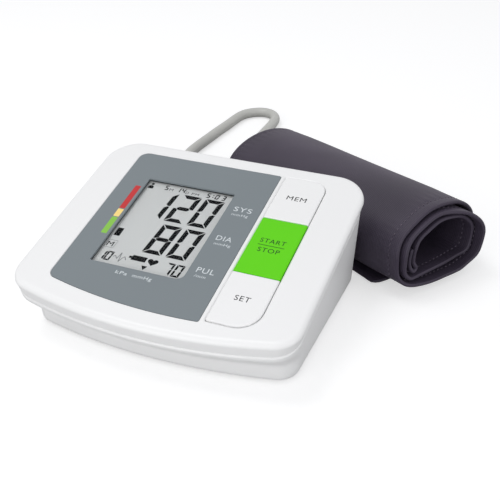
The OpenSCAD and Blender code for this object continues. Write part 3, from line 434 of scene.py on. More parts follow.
share = node(tree, "ShaderNodeMapRange", [("Value", shade.outputs[0])], From_Min=0.7, From_Max=2.8)
tint = node(tree, "ShaderNodeMix", [("Factor", share.outputs[0])], data_type="RGBA")
tint.inputs[6].default_value = linear("#28232E")
tint.inputs[7].default_value = linear("#463E4E")
relief = node(tree, "ShaderNodeBump", [("Height", weave.outputs[0])], Strength=0.3, Distance=0.00015)
cloth = node(tree, "ShaderNodeBsdfPrincipled",
             [("Base Color", tint.outputs[2]), ("Normal", relief.outputs[0])], Roughness=0.55,
             Specular_IOR_Level=0.3, Sheen_Weight=0.1, Sheen_Roughness=0.35, Sheen_Tint=linear("#B9AEC4"))
tree.links.new(cloth.outputs[0], out.inputs[0])
cuff.data.materials.append(cloth_look)

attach(cuff, "cuff_set")
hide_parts("cuff_wrap")

# Stitches: one row in each hem of the outer face and in the near hem of the inner laps, the thread
# drawn 0.55 mm thick.
stitch_l, stitch_pitch, stitch_d = 1.9, 3.0, 0.55


def stitch_row(u0, u1, from_near, side):
    """Row of short threads lying along the cloth at from_near mm from its near edge: each is a flat
    six-sided spindle of three rings."""
    fine = np.linspace(u0, u1, 4000)
    w = 1 - from_near / cuff_w
    flat = np.zeros_like(fine)
    line = cuff_surface(fine, flat + cuff_w - from_near, flat + side, flat)
    step = np.concatenate([[0], np.cumsum(np.linalg.norm(np.diff(line, axis=0), axis=1))]) / MM
    starts = np.arange(1, step[-1] - stitch_l, stitch_pitch)
    at = starts[:, None] + np.linspace(0, stitch_l, 5)[None, :]
    centre = np.stack([np.interp(at, step, line[:, i]) for i in range(3)], -1)
    out_way = cuff_frame(np.interp(at, step, fine), np.full(at.shape, w), np.zeros(at.shape))[1] * side
    lift_way = np.concatenate([out_way[..., :1] * cuff_side, out_way[..., 1:]], -1)
    along = np.gradient(centre, axis=1)
    along /= np.linalg.norm(along, axis=-1, keepdims=True)
    aside = np.cross(along, lift_way)
    fat = np.array([0.25, 0.85, 1.0, 0.85, 0.25])[None, :, None, None] * stitch_d / 2 * MM
    q = np.radians(np.arange(0, 360, 60))[None, None, :, None]
    arch = np.array([-0.1, 0.12, 0.2, 0.12, -0.1])[None, :, None] * MM
    core = centre + lift_way * arch
    return core[:, :, None] + fat * (np.cos(q) * lift_way[:, :, None] + np.sin(q) * aside[:, :, None])


def join_spindles(name, stitches):
    """One mesh of closed spindles from an array (stitches, rings, sides, 3)."""
    count, rings, sides = stitches.shape[:3]
    at = np.arange(count * rings * sides).reshape(count, rings, sides)
    nxt = np.roll(at, -1, 2)
    quads = np.stack([at[:, :-1], nxt[:, :-1], nxt[:, 1:], at[:, 1:]], -1).reshape(-1, 4)
    faces = quads.tolist() + at[:, 0, ::-1].tolist() + at[:, -1].tolist()
    mesh = bpy.data.meshes.new(name)
    mesh.from_pydata(stitches.reshape(-1, 3).tolist(), [], faces)
    made = added(name, mesh)
    outward(made)
    smooth(made, 80)
    return made


stitches = join_spindles("cuff_stitches", np.concatenate([
    stitch_row(0.05, 2.65, near_hem, 1.0), stitch_row(0.9, 2.8, near_hem, -1.0),
    stitch_row(0.05, 1.1, cuff_w - far_hem, 1.0)]))

# Polyester sewing thread: round and slightly glossy, a little lighter than the cloth.
stitches.data.materials.append(toned("polyester thread", linear("#2C2631"), linear("#6E6474"), 900.0,
                                     Roughness=0.5))
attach(stitches, "cuff_set")

# ---------- Housing ----------
# Two shells moulded in warm white ABS. The top shell is the tilted face with its rounded edge and the
# rim below it; the bottom shell draws in under the rim to the base and carries the battery bay.
body_w, body_d, mid_y, face_z, tilt, bow = 152.0, 127.0, 1.7, 44.2, math.radians(13.65), 270.0
rear_r, front_r, base_r, wall, edge_r = 18.0, 14.0, 11.0, 2.4, 2.6
rim_h, rim_draft, seam, lip_h, front_in, side_in, base_round = 8.3, 1.4, 0.6, 1.8, 12.0, 4.0, 1.5
front_y, rear_y, base_z = mid_y - body_d / 2, mid_y + body_d / 2, 1.0
floor_z, slope, seam_z = base_z + wall, math.tan(tilt), face_z - rim_h


def arc(x, y, r, a0, a1, n):
    """Points on a circle from angle a0 to a1, in radians."""
    a = np.linspace(a0, a1, n + 1)
    return np.stack([x + r * np.cos(a), y + r * np.sin(a)], 1)


def plan(half_w, yf, yr, rf, rr, b):
    """Plan of the housing, counter-clockwise: an arc at each corner and one wide arc for the front."""
    fx, cy = half_w - rf, yf + b
    fy = cy - math.sqrt((b - rf) ** 2 - fx**2)
    lean = math.atan2(fx, cy - fy)
    half = math.pi / 2
    return np.concatenate([
        arc(fx, fy, rf, lean - half, 0, 16), arc(half_w - rr, yr - rr, rr, 0, half, 20),
        arc(rr - half_w, yr - rr, rr, half, 2 * half, 20), arc(-fx, fy, rf, 2 * half, 3 * half - lean, 16),
        arc(0, cy, b, 3 * half - lean, 3 * half + lean, 40)[1:-1]])


def ring(outline, z, rise):
    """Plan as a ring of points at height z where y is 0, rising towards the rear."""
    return np.concatenate([outline, (z + rise * outline[:, 1])[:, None]], 1)


def rim_plan(e):
    return plan(body_w / 2 - e, front_y + e, rear_y - e, front_r - e, rear_r - e, bow - e)


def seam_plan(e):
    """Plan at the seam: drawn in by the rim's draft at the sides and in front."""
    d = rim_draft
    return plan(body_w / 2 - d - e, front_y + d + e, rear_y - e, front_r - e, rear_r - e, bow - e)


def ogee(t):
    """Share of front_in reached at t: a shoulder below the seam, then a straighter run to the base."""
    k = min(max((t - 0.05) / 0.62, 0), 1)
    return 0.86 * k * k * (3 - 2 * k) + 0.14 * t


def lower_plan(t, e):
    d = rim_draft
    return plan(body_w / 2 - d - side_in * t - e, front_y + d + front_in * ogee(t) + e, rear_y - e,
                front_r + (base_r - front_r) * t - e, rear_r + (base_r - rear_r) * t - e, bow - e)


def lower_ring(t, e):
    return ring(lower_plan(t, e), seam_z * (1 - t) + base_z * t, slope * (1 - t))


def placed(rings):
    """Rings in the housing's frame as a grid in the row frame, in metres."""
    return (np.stack(rings) + home) * MM


def on_face(points):
    """Points (x, up the slope, out of the face) in the row frame, in metres."""
    x, v, n = np.moveaxis(np.asarray(points, float), -1, 0)
    y = v * math.cos(tilt) - n * math.sin(tilt)
    z = face_z + v * math.sin(tilt) + n * math.cos(tilt)
    return (np.stack([x, y, z], -1) + home) * MM


def face_rings(outlines, depths):
    """Outlines in the face's frame at their depths, as a grid in the row frame."""
    return on_face(np.stack([np.concatenate([o, np.full((len(o), 1), d)], 1)
                             for o, d in zip(outlines, depths)]))


def cut(obj, cutters, way="DIFFERENCE"):
    """Takes the cutters' shapes out of obj, or adds them to it with UNION, and removes them."""
    for c in cutters:
        outward(c)
        taken = obj.modifiers.new("cut", "BOOLEAN")
        taken.operation, taken.solver, taken.object = way, "EXACT", c
    shape = bpy.data.meshes.new_from_object(obj.evaluated_get(bpy.context.evaluated_depsgraph_get()))
    obj.modifiers.clear()
    obj.data = shape
    for c in cutters:
        bpy.data.objects.remove(c)


def even_shading(obj, angle=30):
    """Smooth shading in which large faces stay flat."""
    smooth(obj, angle)
    even = obj.modifiers.new("even", "WEIGHTED_NORMAL")
    even.keep_sharp = True
    even.weight = 60


def rounded_corner(a, b, c, r, n):
    """Arc of radius r, n steps, that rounds the corner b between a and c."""
    u, v = (a - b) / np.linalg.norm(a - b), (c - b) / np.linalg.norm(c - b)
    half = math.acos(np.clip(u @ v, -1, 1)) / 2
    middle = b + (u + v) / np.linalg.norm(u + v) * r / math.sin(half)
    s, e = b + u * r / math.tan(half) - middle, b + v * r / math.tan(half) - middle
    sweep = math.atan2(s[0] * e[1] - s[1] * e[0], s @ e)
    start = math.atan2(s[1], s[0])
    t = start + sweep * np.linspace(0, 1, n + 1)
    return middle + r * np.stack([np.cos(t), np.sin(t)], 1)


def rounded_box(x0, x1, y0, y1, radii, n=8):
    """Rectangle with its own radius at each corner: right rear, left rear, left front, right front."""
    c = np.array([[x1, y1], [x0, y1], [x0, y0], [x1, y0]], float)
    return np.concatenate([rounded_corner(c[(i + 3) % 4], c[i], c[(i + 1) % 4], max(radii[i], 0.2), n)
                           for i in range(4)])


panel_x0, panel_v1, panel_w, panel_h, panel_t, panel_bow_x = -56.3, 57.7, 84.5, 110.4, 1.1, 6.5
window = (-41.4, 9.6, -29.85, 36.85)
keys = (30.6, 55.3, -50.4, 57.6)
keys_radii = np.array([8.0, 1.0, 1.0, 12.0])


def panel_outline(e):
    """Grey panel's outline moved in by e: straight above, bowed below like the housing's front edge."""
    x0, x1 = panel_x0 + e, panel_x0 + panel_w - e
    v1, v0 = panel_v1 - e, panel_v1 - panel_h + e
    x = np.linspace(x0, x1, 31)
    low = np.stack([x, v0 + bow - np.sqrt(bow**2 - (x - panel_bow_x) ** 2)], 1)
    left, right, low = low[0], low[-1], low[1:-1]
    a, b = np.array([x1, v1]), np.array([x0, v1])
    return np.concatenate([rounded_corner(right, a, b, 1.2, 4), rounded_corner(a, b, left, 5 - e, 10),
                           rounded_corner(b, left, low[0], 5 - e, 10), low[2:-1],
                           rounded_corner(low[-2], right, a, 1.2, 4)])


def keys_outline(e):
    x0, x1, v0, v1 = keys
    return rounded_box(x0 + e, x1 - e, v0 + e, v1 - e, keys_radii - e, 12)


def box_cutter(name, low, high):
    """Box between two corners, in metres."""
    x, y = [low[0], high[0], high[0], low[0]], [low[1], low[1], high[1], high[1]]
    return grid_mesh(name, np.stack([np.stack([x, y, [z] * 4], 1) for z in (low[2], high[2])]))


def disc_cutter(name, centre, axis, r, length):
    """Cylinder of radius r along axis (1 for Y, 2 for Z) from centre."""
    q = np.linspace(0, 2 * np.pi, 48, endpoint=False)
    ring_points = np.zeros((2, 48, 3))
    other = [i for i in range(3) if i != axis]
    ring_points[..., other[0]], ring_points[..., other[1]] = r * np.cos(q), r * np.sin(q)
    ring_points[1, :, axis] = length
    return grid_mesh(name, ring_points + np.array(centre))


def block(name, x, y, z):
    """Box in the housing's frame from three pairs of limits in mm."""
    return box_cutter(name, *((np.array(corner) + home) * MM for corner in zip(x, y, z)))


def rod(name, centre, axis, r, length):
    """Cylinder in the housing's frame, in mm."""
    return disc_cutter(name, (np.array(centre) + home) * MM, axis, r * MM, length * MM)


edge_angles = np.radians(np.linspace(0, 90, 10))
top = grid_mesh("top_shell_skin", placed(
    [ring(rim_plan(wall + 1), face_z - wall, slope), ring(rim_plan(wall), face_z - wall - 1, slope),
     ring(seam_plan(wall), seam_z + lip_h, slope), ring(seam_plan(wall / 2), seam_z + lip_h, slope),
     ring(seam_plan(wall / 2), seam_z, slope), ring(seam_plan(seam), seam_z, slope),
     ring(seam_plan(0.15), seam_z + 0.35, slope), ring(seam_plan(0), seam_z + 0.8, slope)]
    + [ring(rim_plan(edge_r * (1 - math.cos(a))), face_z - edge_r * (1 - math.sin(a)), slope)
       for a in edge_angles]
    + [ring(rim_plan(edge_r + 0.4), face_z, slope)]))
outward(top)
screw_spots = [(s * (body_w / 2 - 10.5), y) for s in (-1, 1) for y in (front_y + 36, rear_y - 26)]
post_top, post_r, boss_r = 14.0, 4.4, 3.2
cut(top, [rod(f"boss_{i}", (x, y, post_top), 2, boss_r,
              face_z - wall / 2 + slope * (y - boss_r) - post_top)
          for i, (x, y) in enumerate(screw_spots)], "UNION")
groove_flare, panel_flare, panel_gap, window_ledge = 0.9, 0.3, 0.15, 2.0
panel_edges = [panel_outline(-panel_gap - flare) for flare in (0, 0, panel_flare, panel_flare)]
window_hole = rounded_box(window[0] - window_ledge, window[1] + window_ledge,
                          window[2] - window_ledge, window[3] + window_ledge, [1] * 4)
keys_edges = [keys_outline(-groove_flare * flare) for flare in (0, 0, 0.35, 1, 1)]
cut(top, [
    grid_mesh("panel_recess", face_rings(panel_edges, [-panel_t, -panel_flare, 0, 2])),
    grid_mesh("window_opening", face_rings([window_hole] * 2, [-wall - 1, 1])),
    grid_mesh("keys_opening", face_rings(keys_edges, [-wall - 1, -0.45, -0.2, 0, 2])),
])
even_shading(top)

# Below the seam: from the base up the outer wall, over the tongue and down the inner wall to the floor.
bottom = grid_mesh("bottom_shell_skin", placed(
    [ring(lower_plan(1, base_round), base_z, 0),
     ring(lower_plan(1, base_round * 0.3), base_z + 0.3 * base_round, 0),
     ring(lower_plan(0.97, 0), base_z + base_round, 0)]
    + [lower_ring(t, 0) for t in np.linspace(0.9, 0.06, 22)]
    + [ring(seam_plan(0), seam_z - 0.8, slope), ring(seam_plan(0.15), seam_z - 0.35, slope),
       ring(seam_plan(seam), seam_z, slope), ring(seam_plan(wall / 2 + 0.15), seam_z, slope),
       ring(seam_plan(wall / 2 + 0.15), seam_z + lip_h - 0.15, slope),
       ring(seam_plan(wall + 0.15), seam_z + lip_h - 0.15, slope)]
    + [lower_ring(t, wall) for t in np.linspace(0.1, 0.88, 12)]
    + [ring(lower_plan(0.94, wall), floor_z, 0)]))
outward(bottom)

# Inside it: the battery bay with a rib between two cells, the screw posts, and the saddles that carry
# the pump and the exhaust valve.
bay_w, bay_y0, bay_y1, bay_top, bay_wall = 68.4, 1.2, 59.2, 19.4, 1.6
cell_pitch, rib_h, saddle_t, lying_gap = 15.4, 3.3, 2.0, 0.15
bay = block("bay", (-bay_w / 2 - bay_wall, bay_w / 2 + bay_wall), (bay_y0 - bay_wall, bay_y1 + 5),
            (base_z + 1, bay_top + bay_wall))
cut(bay, [block("bay_hollow", (-bay_w / 2, bay_w / 2), (bay_y0, bay_y1), (base_z, bay_top))])
inner = [bay] + [block(f"rib_{i}", (i * cell_pitch - 0.3, i * cell_pitch + 0.3),
                       (bay_y0 - 0.1, bay_y1 + 0.1), (bay_top - rib_h, bay_top + 0.4)) for i in (-1, 0, 1)]
inner += [rod(f"post_{i}", (x, y, base_z + 0.5), 2, post_r, post_top - base_z - 0.5)
          for i, (x, y) in enumerate(screw_spots)]
for carried, narrow, low_by in (("pump_motor", 1.0, 6.0), ("exhaust_valve", 2.0, 3.0)):
    low, high = (np.array(corner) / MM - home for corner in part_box(carried))
    middle = (low + high) / 2
    for y in (low[1] + 3, high[1] - 5):
        rib = block(f"saddle_{carried}_{y:.0f}", (low[0] + narrow, high[0] - narrow), (y, y + saddle_t),
                    (base_z + 1, middle[2] - low_by + 1))
        cut(rib, [rod("lying", (middle[0], low[1] - 5, middle[2]), 1,
                      (high[0] - low[0]) / 2 + lying_gap, high[1] - low[1] + 10)])
        inner.append(rib)
cut(bottom, inner, "UNION")

# Openings: the battery cover's slot with its wider upper part for the tongues, the air port, the screw
# holes and the seats of the feet.
cover_low, cover_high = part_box("battery_cover")
foot_spots = [(s * 50.0, y) for s in (-1, 1) for y in (front_y + 25, rear_y - 11)]
gap, tongue, tongue_z, past_rear = 0.15 * MM, 2 * MM, 2.1 * MM, 0.02
port_x, port_z, port_r, head_r, screw_r, foot_r, foot_sink = -58.0, 26.5, 5.6, 3.0, 1.6, 5.1, 1.8
cutters = [box_cutter("cover_slot", (cover_low.x + tongue - gap, cover_low.y - gap, 0),
                      (cover_high.x - tongue + gap, past_rear, floor_z * MM)),
           box_cutter("tongue_slot", (cover_low.x - gap, cover_low.y - gap, tongue_z),
                      (cover_high.x + gap, past_rear, floor_z * MM + gap)),
           rod("port_hole", (port_x, rear_y - 6, port_z), 1, port_r, 10)]
for i, (x, y) in enumerate(screw_spots):
    cutters += [rod(f"head_hole_{i}", (x, y, -1), 2, head_r, 8), rod(f"bore_{i}", (x, y, 6), 2, screw_r, 10)]
for i, (x, y) in enumerate(foot_spots):
    cutters.append(rod(f"foot_seat_{i}", (x, y, -1), 2, foot_r, foot_sink + 1))
cut(bottom, cutters)
even_shading(bottom)

# Moulded ABS: satin, with the mould's fine spark finish (0.3 mm pits, drawn 0.5) and a trace of warmth.


def moulded(name, hex_low, hex_high, roughness, grain=0.0005, depth=0.00002, shine=0.5):
    """Satin moulded plastic: a faint drift between two tones and a fine spark-eroded grain of that size."""
    made, tree, out = new_material(name)
    place = node(tree, "ShaderNodeTexCoord")
    drift = node(tree, "ShaderNodeTexNoise", [("Vector", place.outputs["Object"])], Scale=12.0, Detail=2.0)
    grit = node(tree, "ShaderNodeTexNoise", [("Vector", place.outputs["Object"])], Scale=1 / grain,
                Detail=2.0)
    tint = node(tree, "ShaderNodeMix", [("Factor", drift.outputs["Fac"])], data_type="RGBA")
    tint.inputs[6].default_value = linear(hex_low)
    tint.inputs[7].default_value = linear(hex_high)
    relief = node(tree, "ShaderNodeBump", [("Height", grit.outputs["Fac"])], Strength=0.5, Distance=depth)
    spread = node(tree, "ShaderNodeMapRange", [("Value", grit.outputs["Fac"])], To_Min=roughness - 0.05,
                  To_Max=roughness + 0.05)
    body = node(tree, "ShaderNodeBsdfPrincipled",
                [("Base Color", tint.outputs[2]), ("Normal", relief.outputs[0]),
                 ("Roughness", spread.outputs[0])], IOR=1.53, Specular_IOR_Level=shine)
    tree.links.new(body.outputs[0], out.inputs[0])
    return made


shell_look = moulded("satin white ABS", "#F0F0EF", "#F4F4F4", 0.36)
for shell, cad in ((top, "top_shell"), (bottom, "bottom_shell")):
    shell.data.materials.clear()
    shell.data.materials.append(shell_look)
    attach(shell, "monitor")
    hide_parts(cad)

# ---------- Display panel ----------
# Grey printed panel let into the face, with the window's opening, the scale bar and the labels.


def lacquered(obj, *looks):
    """Gives a carried-over node its finish in every slot."""
    obj.data.materials.clear()
    for look in looks:
        obj.data.materials.append(look)


panel_look = moulded("fine-textured grey polycarbonate", "#798185", "#7F878B", 0.5, shine=0.25)
lacquered(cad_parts["display_panel"], panel_look)


def ink(name, hex_colour, roughness=0.5):
    """Screen-printed ink: nearly even, slightly thin in places."""
    full = linear(hex_colour)
    return toned(name, full, [x * 0.94 for x in full[:3]] + [1], 1400.0, Roughness=roughness,
                 Specular_IOR_Level=0.2)


white_ink = ink("white screen ink", "#DCE2E5")
dark_ink = ink("dark grey pad print", "#1E2022")
print_t = 0.02


def slab(name, outlines, level):
    """Flat prints: every outline raised from level by print_t, joined in one closed mesh."""
    points, faces = [], []
    for outline in outlines:
        n, at = len(outline), len(points)
        o = np.asarray(outline, float)
        low = np.concatenate([o, np.full((n, 1), level)], 1)
        high = np.concatenate([o, np.full((n, 1), level + print_t)], 1)
        points += on_face(np.concatenate([low, high])).tolist()
        lower, upper = list(range(at, at + n)), list(range(at + n, at + 2 * n))
        faces += [lower[::-1], upper]
        faces += [[lower[i], lower[(i + 1) % n], upper[(i + 1) % n], upper[i]] for i in range(n)]
    mesh = bpy.data.meshes.new(name)
    mesh.from_pydata(points, [], faces)
    made = added(name, mesh)
    outward(made)
    return made


def words(name, text, x, v, height, level, look, body, width):
    """Lettering as a closed mesh of that width and cap height in mm, from its left end at x and its
    baseline at v of the face."""
    curve = bpy.data.curves.new(name, "FONT")
    curve.body = text
    curve.size = 1
    curve.resolution_u = 4
    curve.space_character = 1.12
    made = added(name, curve)
    shape = bpy.data.meshes.new_from_object(made.evaluated_get(bpy.context.evaluated_depsgraph_get()))
    bpy.data.objects.remove(made)
    flat = np.zeros(len(shape.vertices) * 3)
    shape.vertices.foreach_get("co", flat)
    flat = flat.reshape(-1, 3)
    cap = 0.729  # cap height of the default letters at size 1
    scale_v = height / cap
    scale_x = width / (flat[:, 0].max() - flat[:, 0].min())
    place = np.stack([x + (flat[:, 0] - flat[:, 0].min()) * scale_x, v + flat[:, 1] * scale_v,
                      np.full(len(flat), level + print_t)], 1)
    shape.vertices.foreach_set("co", on_face(place).ravel())
    made = added(name, shape)
    depth = made.modifiers.new("ink", "SOLIDIFY")
    depth.thickness = print_t * MM
    depth.offset = -1
    shape.materials.append(look)
    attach(made, body)
    return made


panel_level = -0.1
for name, text, x, v, height, width in (
    ("label_sys", "SYS", 13.6, 24.3, 3.6, 10.0), ("label_sys_unit", "mmHg", 14.0, 20.9, 1.8, 9.0),
    ("label_dia", "DIA", 13.6, 1.2, 3.6, 8.4), ("label_dia_unit", "mmHg", 14.0, -2.2, 1.8, 9.0),
    ("label_pul", "PUL", 13.6, -22.6, 3.6, 9.4), ("label_pul_unit", "/min", 14.0, -25.9, 1.8, 6.0),
    ("label_kpa", "kPa", -24.4, -34.9, 2.3, 6.4), ("label_mmhg", "mmHg", -15.0, -34.9, 2.3, 10.4),
):
    words(name, text, x, v, height, panel_level, white_ink, "monitor", width)

bar_x0, bar_x1 = -46.2, -42.9
for name, v0, v1, colour in (("bar_red", 9.9, 29.4, "#C8383A"), ("bar_yellow", 3.2, 9.3, "#FFE08A"),
                             ("bar_green", -10.3, 2.6, "#8CC850")):
    bar = slab(name, [rounded_box(bar_x0, bar_x1, v0, v1, [0.4] * 4, 4)], panel_level)
    bar.data.materials.append(ink(name + " ink", colour))
    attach(bar, "monitor")

# ---------- Liquid crystal display ----------
# Twisted-nematic glass under a clear acrylic window, framed by black foam: near-black italic segments
# on a grey reflector.
lcd_level = -2.5
lean = 0.082


def digit(char, x, v, w, h, t, gap_w=0.35):
    """Seven-segment figure as polygons: its box starts at x, v, strokes t wide with mitred ends,
    and its top leans to the right."""
    g, m, k = gap_w, h / 2, t / 2
    shapes = {
        "a": [(g, h), (w - g, h), (w - t - g, h - t), (t + g, h - t)],
        "b": [(w, h - g), (w, m + g), (w - k, m + g * 0.6), (w - t, m + k), (w - t, h - t - g)],
        "c": [(w, m - g), (w, g), (w - t, t + g), (w - t, m - k), (w - k, m - g * 0.6)],
        "d": [(g, 0), (w - g, 0), (w - t - g, t), (t + g, t)],
        "e": [(0, m - g), (0, g), (t, t + g), (t, m - k), (k, m - g * 0.6)],
        "f": [(0, h - g), (0, m + g), (k, m + g * 0.6), (t, m + k), (t, h - t - g)],
        "g": [(k + g, m), (t + g * 0.6, m + k), (w - t - g * 0.6, m + k), (w - k - g, m),
              (w - t - g * 0.6, m - k), (t + g * 0.6, m - k)],
    }
    lit = {"0": "abcdef", "1": "bc", "2": "abdeg", "3": "abcdg", "4": "bcfg", "5": "acdfg", "7": "abc",
           "8": "abcdefg"}[char]
    return [[(x + px + lean * pv, v + pv) for px, pv in shapes[s]] for s in lit]


big_w, big_h, big_t, big_pitch = 10.9, 22.2, 2.7, 13.3
big_x = -6.8
figures = []
for row, v in (("120", 9.3), ("80", -15.6)):
    for i, char in enumerate(reversed(row)):
        figures += digit(char, big_x - i * big_pitch, v, big_w, big_h, big_t)
for i, char in enumerate("70"):
    figures += digit(char, -4.0 + 5.3 * i, -27.3, 4.4, 8.6, 1.15, 0.15)
for i, char in enumerate("10"):
    figures += digit(char, -40.6 + 3.7 * i, -26.1, 3.4, 6.6, 0.95, 0.12)
top_v, top_h = 32.5, 3.8
for char, x in (("5", -31.1), ("1", -24.0), ("4", -21.1), ("5", -6.2), ("0", -1.2), ("3", 2.7)):
    figures += digit(char, x, top_v, 2.2, top_h, 0.7, 0.08)
for v in (top_v + 0.8, top_v + 2.3):
    figures.append(rounded_box(-2.6, -1.9, v, v + 0.7, [0.2] * 4, 2))
figures.append(rounded_box(-40.3, -36.9, -8.2, -2.2, [0.2] * 4, 2))
figures.append([(-24.4, -19.7), (-24.5, -21.2), (-22.9, -21.2), (-23.0, -22.2), (-14.9, -22.2),
                (-14.7, -18.7), (-22.7, -18.7), (-22.8, -19.7)])
figures.append([(-15.4, -24.4), (-12.1, -24.4), (-13.6, -27.3)])


def heart(x, v, width):
    """Heart outline: the classic sine-cubed curve, width across."""
    t = np.linspace(0, 2 * np.pi, 40, endpoint=False)
    px = 16 * np.sin(t) ** 3
    pv = 13 * np.cos(t) - 5 * np.cos(2 * t) - 2 * np.cos(3 * t) - np.cos(4 * t)
    return np.stack([x + px * width / 32, v + pv * width / 34], 1)


figures.append(heart(-11.0, -20.9, 5.7))
figures.append(rounded_box(-39.9, -38.1, 34.5, 36.3, [0.9] * 4, 6))
figures.append(rounded_box(-40.7, -37.5, 31.6, 34.2, [1.5, 1.5, 0.4, 0.4], 6))
segments = slab("lcd_segments", figures, lcd_level)


def trace_line(points, width):
    """Outline of a stroke of even width along points."""
    p = np.array(points, float)
    d = np.gradient(p, axis=0)
    d /= np.linalg.norm(d, axis=1)[:, None]
    n = np.stack([-d[:, 1], d[:, 0]], 1) * width / 2
    return np.concatenate([p + n, (p - n)[::-1]])


pulse_points = [(-32.6, -22.6), (-31.4, -21.7), (-30.6, -22.9), (-30.0, -23.6), (-29.2, -18.9),
                (-28.3, -25.4), (-27.4, -22.6), (-26.4, -21.2), (-25.0, -23.4)]
box_points = [(-41.0, -17.2), (-35.8, -17.2), (-35.4, -11.7), (-40.6, -11.7), (-41.0, -17.2)]
pulse = slab("lcd_pulse", [trace_line([p, q], 0.4) for p, q in zip(pulse_points, pulse_points[1:])]
             + [trace_line([p, q], 0.22) for p, q in zip(box_points, box_points[1:])], lcd_level)

# Switched crystal: near-black and matt, since the polariser leaves no shine of its own.
lcd_dark = toned("switched liquid crystal", linear("#101113"), linear("#17181A"), 300.0, Roughness=0.5,
                 Specular_IOR_Level=0.0)
segments.data.materials.append(lcd_dark)
pulse.data.materials.append(ink("thin liquid crystal stroke", "#77787A"))
for piece in (segments, pulse):
    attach(piece, "monitor")

for name, text, x, v, height, width in (
    ("lcd_month", "M", -28.0, top_v, 1.9, 2.2), ("lcd_day", "D", -18.2, top_v, 1.9, 1.8),
    ("lcd_pm", "PM", -14.6, top_v, 1.9, 4.2), ("lcd_memory", "M", -40.2, -16.3, 3.6, 3.5),
):
    words(name, text, x, v, height, lcd_level, lcd_dark, "monitor", width)

reflector, tree, out = new_material("grey liquid crystal glass")
place = node(tree, "ShaderNodeTexCoord")
frost = node(tree, "ShaderNodeTexNoise", [("Vector", place.outputs["Object"])], Scale=1600.0, Detail=2.0)
wide = node(tree, "ShaderNodeTexNoise", [("Vector", place.outputs["Object"])], Scale=18.0)
blend = node(tree, "ShaderNodeMath", [(0, frost.outputs["Fac"]), (1, wide.outputs["Fac"])], operation="ADD")
share = node(tree, "ShaderNodeMath", [(0, blend.outputs[0])], operation="MULTIPLY")
share.inputs[1].default_value = 0.5
tint = node(tree, "ShaderNodeMix", [("Factor", share.outputs[0])], data_type="RGBA")
tint.inputs[6].default_value = linear("#C2C2C1")
tint.inputs[7].default_value = linear("#CFCFCE")
body = node(tree, "ShaderNodeBsdfPrincipled", [("Base Color", tint.outputs[2])], Roughness=0.4)
tree.links.new(body.outputs[0], out.inputs[0])
lacquered(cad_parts["display_glass"], reflector)

# Clear acrylic window, coated against glare, which its low IOR stands for; light for the display passes
# it unbent.
acrylic, tree, out = new_material("clear acrylic")
seen = node(tree, "ShaderNodeLightPath")
passing = node(tree, "ShaderNodeMath",
               [(0, seen.outputs["Is Shadow Ray"]), (1, seen.outputs["Is Diffuse Ray"])], operation="MAXIMUM")
place = node(tree, "ShaderNodeTexCoord")
haze = node(tree, "ShaderNodeTexNoise", [("Vector", place.outputs["Object"])], Scale=60.0)
spread = node(tree, "ShaderNodeMapRange", [("Value", haze.outputs["Fac"])], To_Min=0.02, To_Max=0.05)
clear = node(tree, "ShaderNodeBsdfPrincipled", [("Roughness", spread.outputs[0])], IOR=1.12,
             Base_Color=linear("#FCFDFD"), Transmission_Weight=1.0)
through = node(tree, "ShaderNodeBsdfTransparent", Color=linear("#FCFDFD"))
pane = node(tree, "ShaderNodeMixShader", [(0, passing.outputs[0]), (1, clear.outputs[0]),
                                          (2, through.outputs[0])])
tree.links.new(pane.outputs[0], out.inputs[0])
lacquered(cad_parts["display_window"], acrylic)

# ---------- Keys ----------
# Three moulded caps in one column: two in the housing's white, the middle one in bright green ABS.
green_look = moulded("bright green ABS", "#5CD000", "#66DA00", 0.5, shine=0.2)
lacquered(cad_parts["start_key"], green_look)
for name in ("mem_key", "set_key"):
    lacquered(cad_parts[name], shell_look)
key_level = 0.6
green_ink = ink("dark green pad print", "#123A0C")
for name, text, x, v, height, width, look, body in (
    ("print_mem", "MEM", 37.4, 39.5, 3.4, 10.6, dark_ink, "mem_key"),
    ("print_set", "SET", 38.7, -34.9, 3.4, 7.8, dark_ink, "set_key"),
    ("print_start", "START", 35.9, 5.5, 3.1, 13.4, green_ink, "start_key"),
    ("print_stop", "STOP", 36.9, -1.1, 3.1, 11.4, green_ink, "start_key"),
):
    words(name, text, x, v, height, key_level, look, body, width)
rule = slab("print_rule", [rounded_box(35.6, 49.7, 3.5, 3.85, [0.2] * 4, 2)], key_level)
rule.data.materials.append(green_ink)
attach(rule, "start_key")

# ---------- Small parts and works ----------
# Everything else keeps its modelled shape: feet and foam of rubber, plated steel, brass, copper
# windings, the green board and its chips, silicone tubes, sleeved cells.


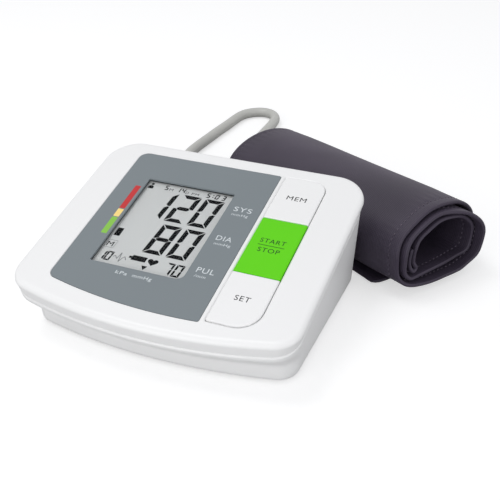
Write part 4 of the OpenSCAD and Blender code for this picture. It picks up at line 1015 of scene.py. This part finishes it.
def brushed(name, hex_low, hex_high, roughness, metal=1.0, stretch=(1, 1, 40)):
    """Bare or plated metal: fine drawn lines along one axis."""
    made, tree, out = new_material(name)
    place = node(tree, "ShaderNodeTexCoord")
    lines_at = node(tree, "ShaderNodeMapping", [("Vector", place.outputs["Object"])], Scale=stretch)
    lines = node(tree, "ShaderNodeTexNoise", [("Vector", lines_at.outputs[0])], Scale=300.0, Detail=3.0)
    tint = node(tree, "ShaderNodeMix", [("Factor", lines.outputs["Fac"])], data_type="RGBA")
    tint.inputs[6].default_value = linear(hex_low)
    tint.inputs[7].default_value = linear(hex_high)
    body = node(tree, "ShaderNodeBsdfPrincipled", [("Base Color", tint.outputs[2])], Metallic=metal,
                Roughness=roughness)
    tree.links.new(body.outputs[0], out.inputs[0])
    return made


steel = brushed("zinc-plated steel", "#A9ABAD", "#C2C4C6", 0.35)
brass = brushed("brass", "#B89B58", "#CDB06C", 0.35)
copper = brushed("enamelled copper wire", "#9A5A2C", "#B87440", 0.4, stretch=(40, 1, 40))
rubber = moulded("black rubber", "#1C1D1E", "#242526", 0.75, 0.0008, 0.00004)
black_plastic = moulded("black nylon", "#202124", "#2A2B2E", 0.5)
white_plastic = moulded("natural acetal", "#E2E2DE", "#EBEBE7", 0.45)
board_look = moulded("green solder mask", "#1F5A38", "#2B6B45", 0.35, 0.002, 0.00003)
silicone = moulded("translucent silicone", "#D2D2CB", "#DEDED8", 0.4)
pink_rubber = moulded("zebra strip silicone", "#D89A9A", "#E2AAAA", 0.6)
sleeve = moulded("printed foil cell sleeve", "#33445A", "#3D5068", 0.3)
can = moulded("capacitor sleeve", "#26324E", "#2F3D5C", 0.35)
grey_plastic = moulded("grey nylon", "#7B8286", "#868D91", 0.45)
finishes = {
    shell_look: ["battery_cover", "air_socket"],
    rubber: ["feet", "display_foam", "motor_magnets"],
    steel: ["housing_screws", "board_screws", "crystal", "pump_motor", "pump_shaft", "pump_clamp",
            "clamp_screw", "exhaust_valve", "contact_plates", "battery_springs"],
    brass: ["valve_plunger", "mem_plunger", "start_plunger", "set_plunger"],
    copper: ["motor_armature"],
    black_plastic: ["processor_chip", "memory_chip", "pressure_sensor", "buzzer", "mem_switch",
                    "start_switch", "set_switch", "pump_head", "air_manifold"],
    white_plastic: ["display_frame", "pump_eccentric"],
    pink_rubber: ["display_connectors"],
    board_look: ["main_board"],
    silicone: ["socket_tube", "pump_tube", "valve_tube", "sensor_tube"],
    sleeve: ["cell_1", "cell_2", "cell_3", "cell_4"],
    can: ["capacitors"],
    grey_plastic: ["air_plug", "cuff_nozzle"],
}
for look, names in finishes.items():
    for name in names:
        lacquered(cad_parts[name], look)

# ---------- End ----------
low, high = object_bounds()
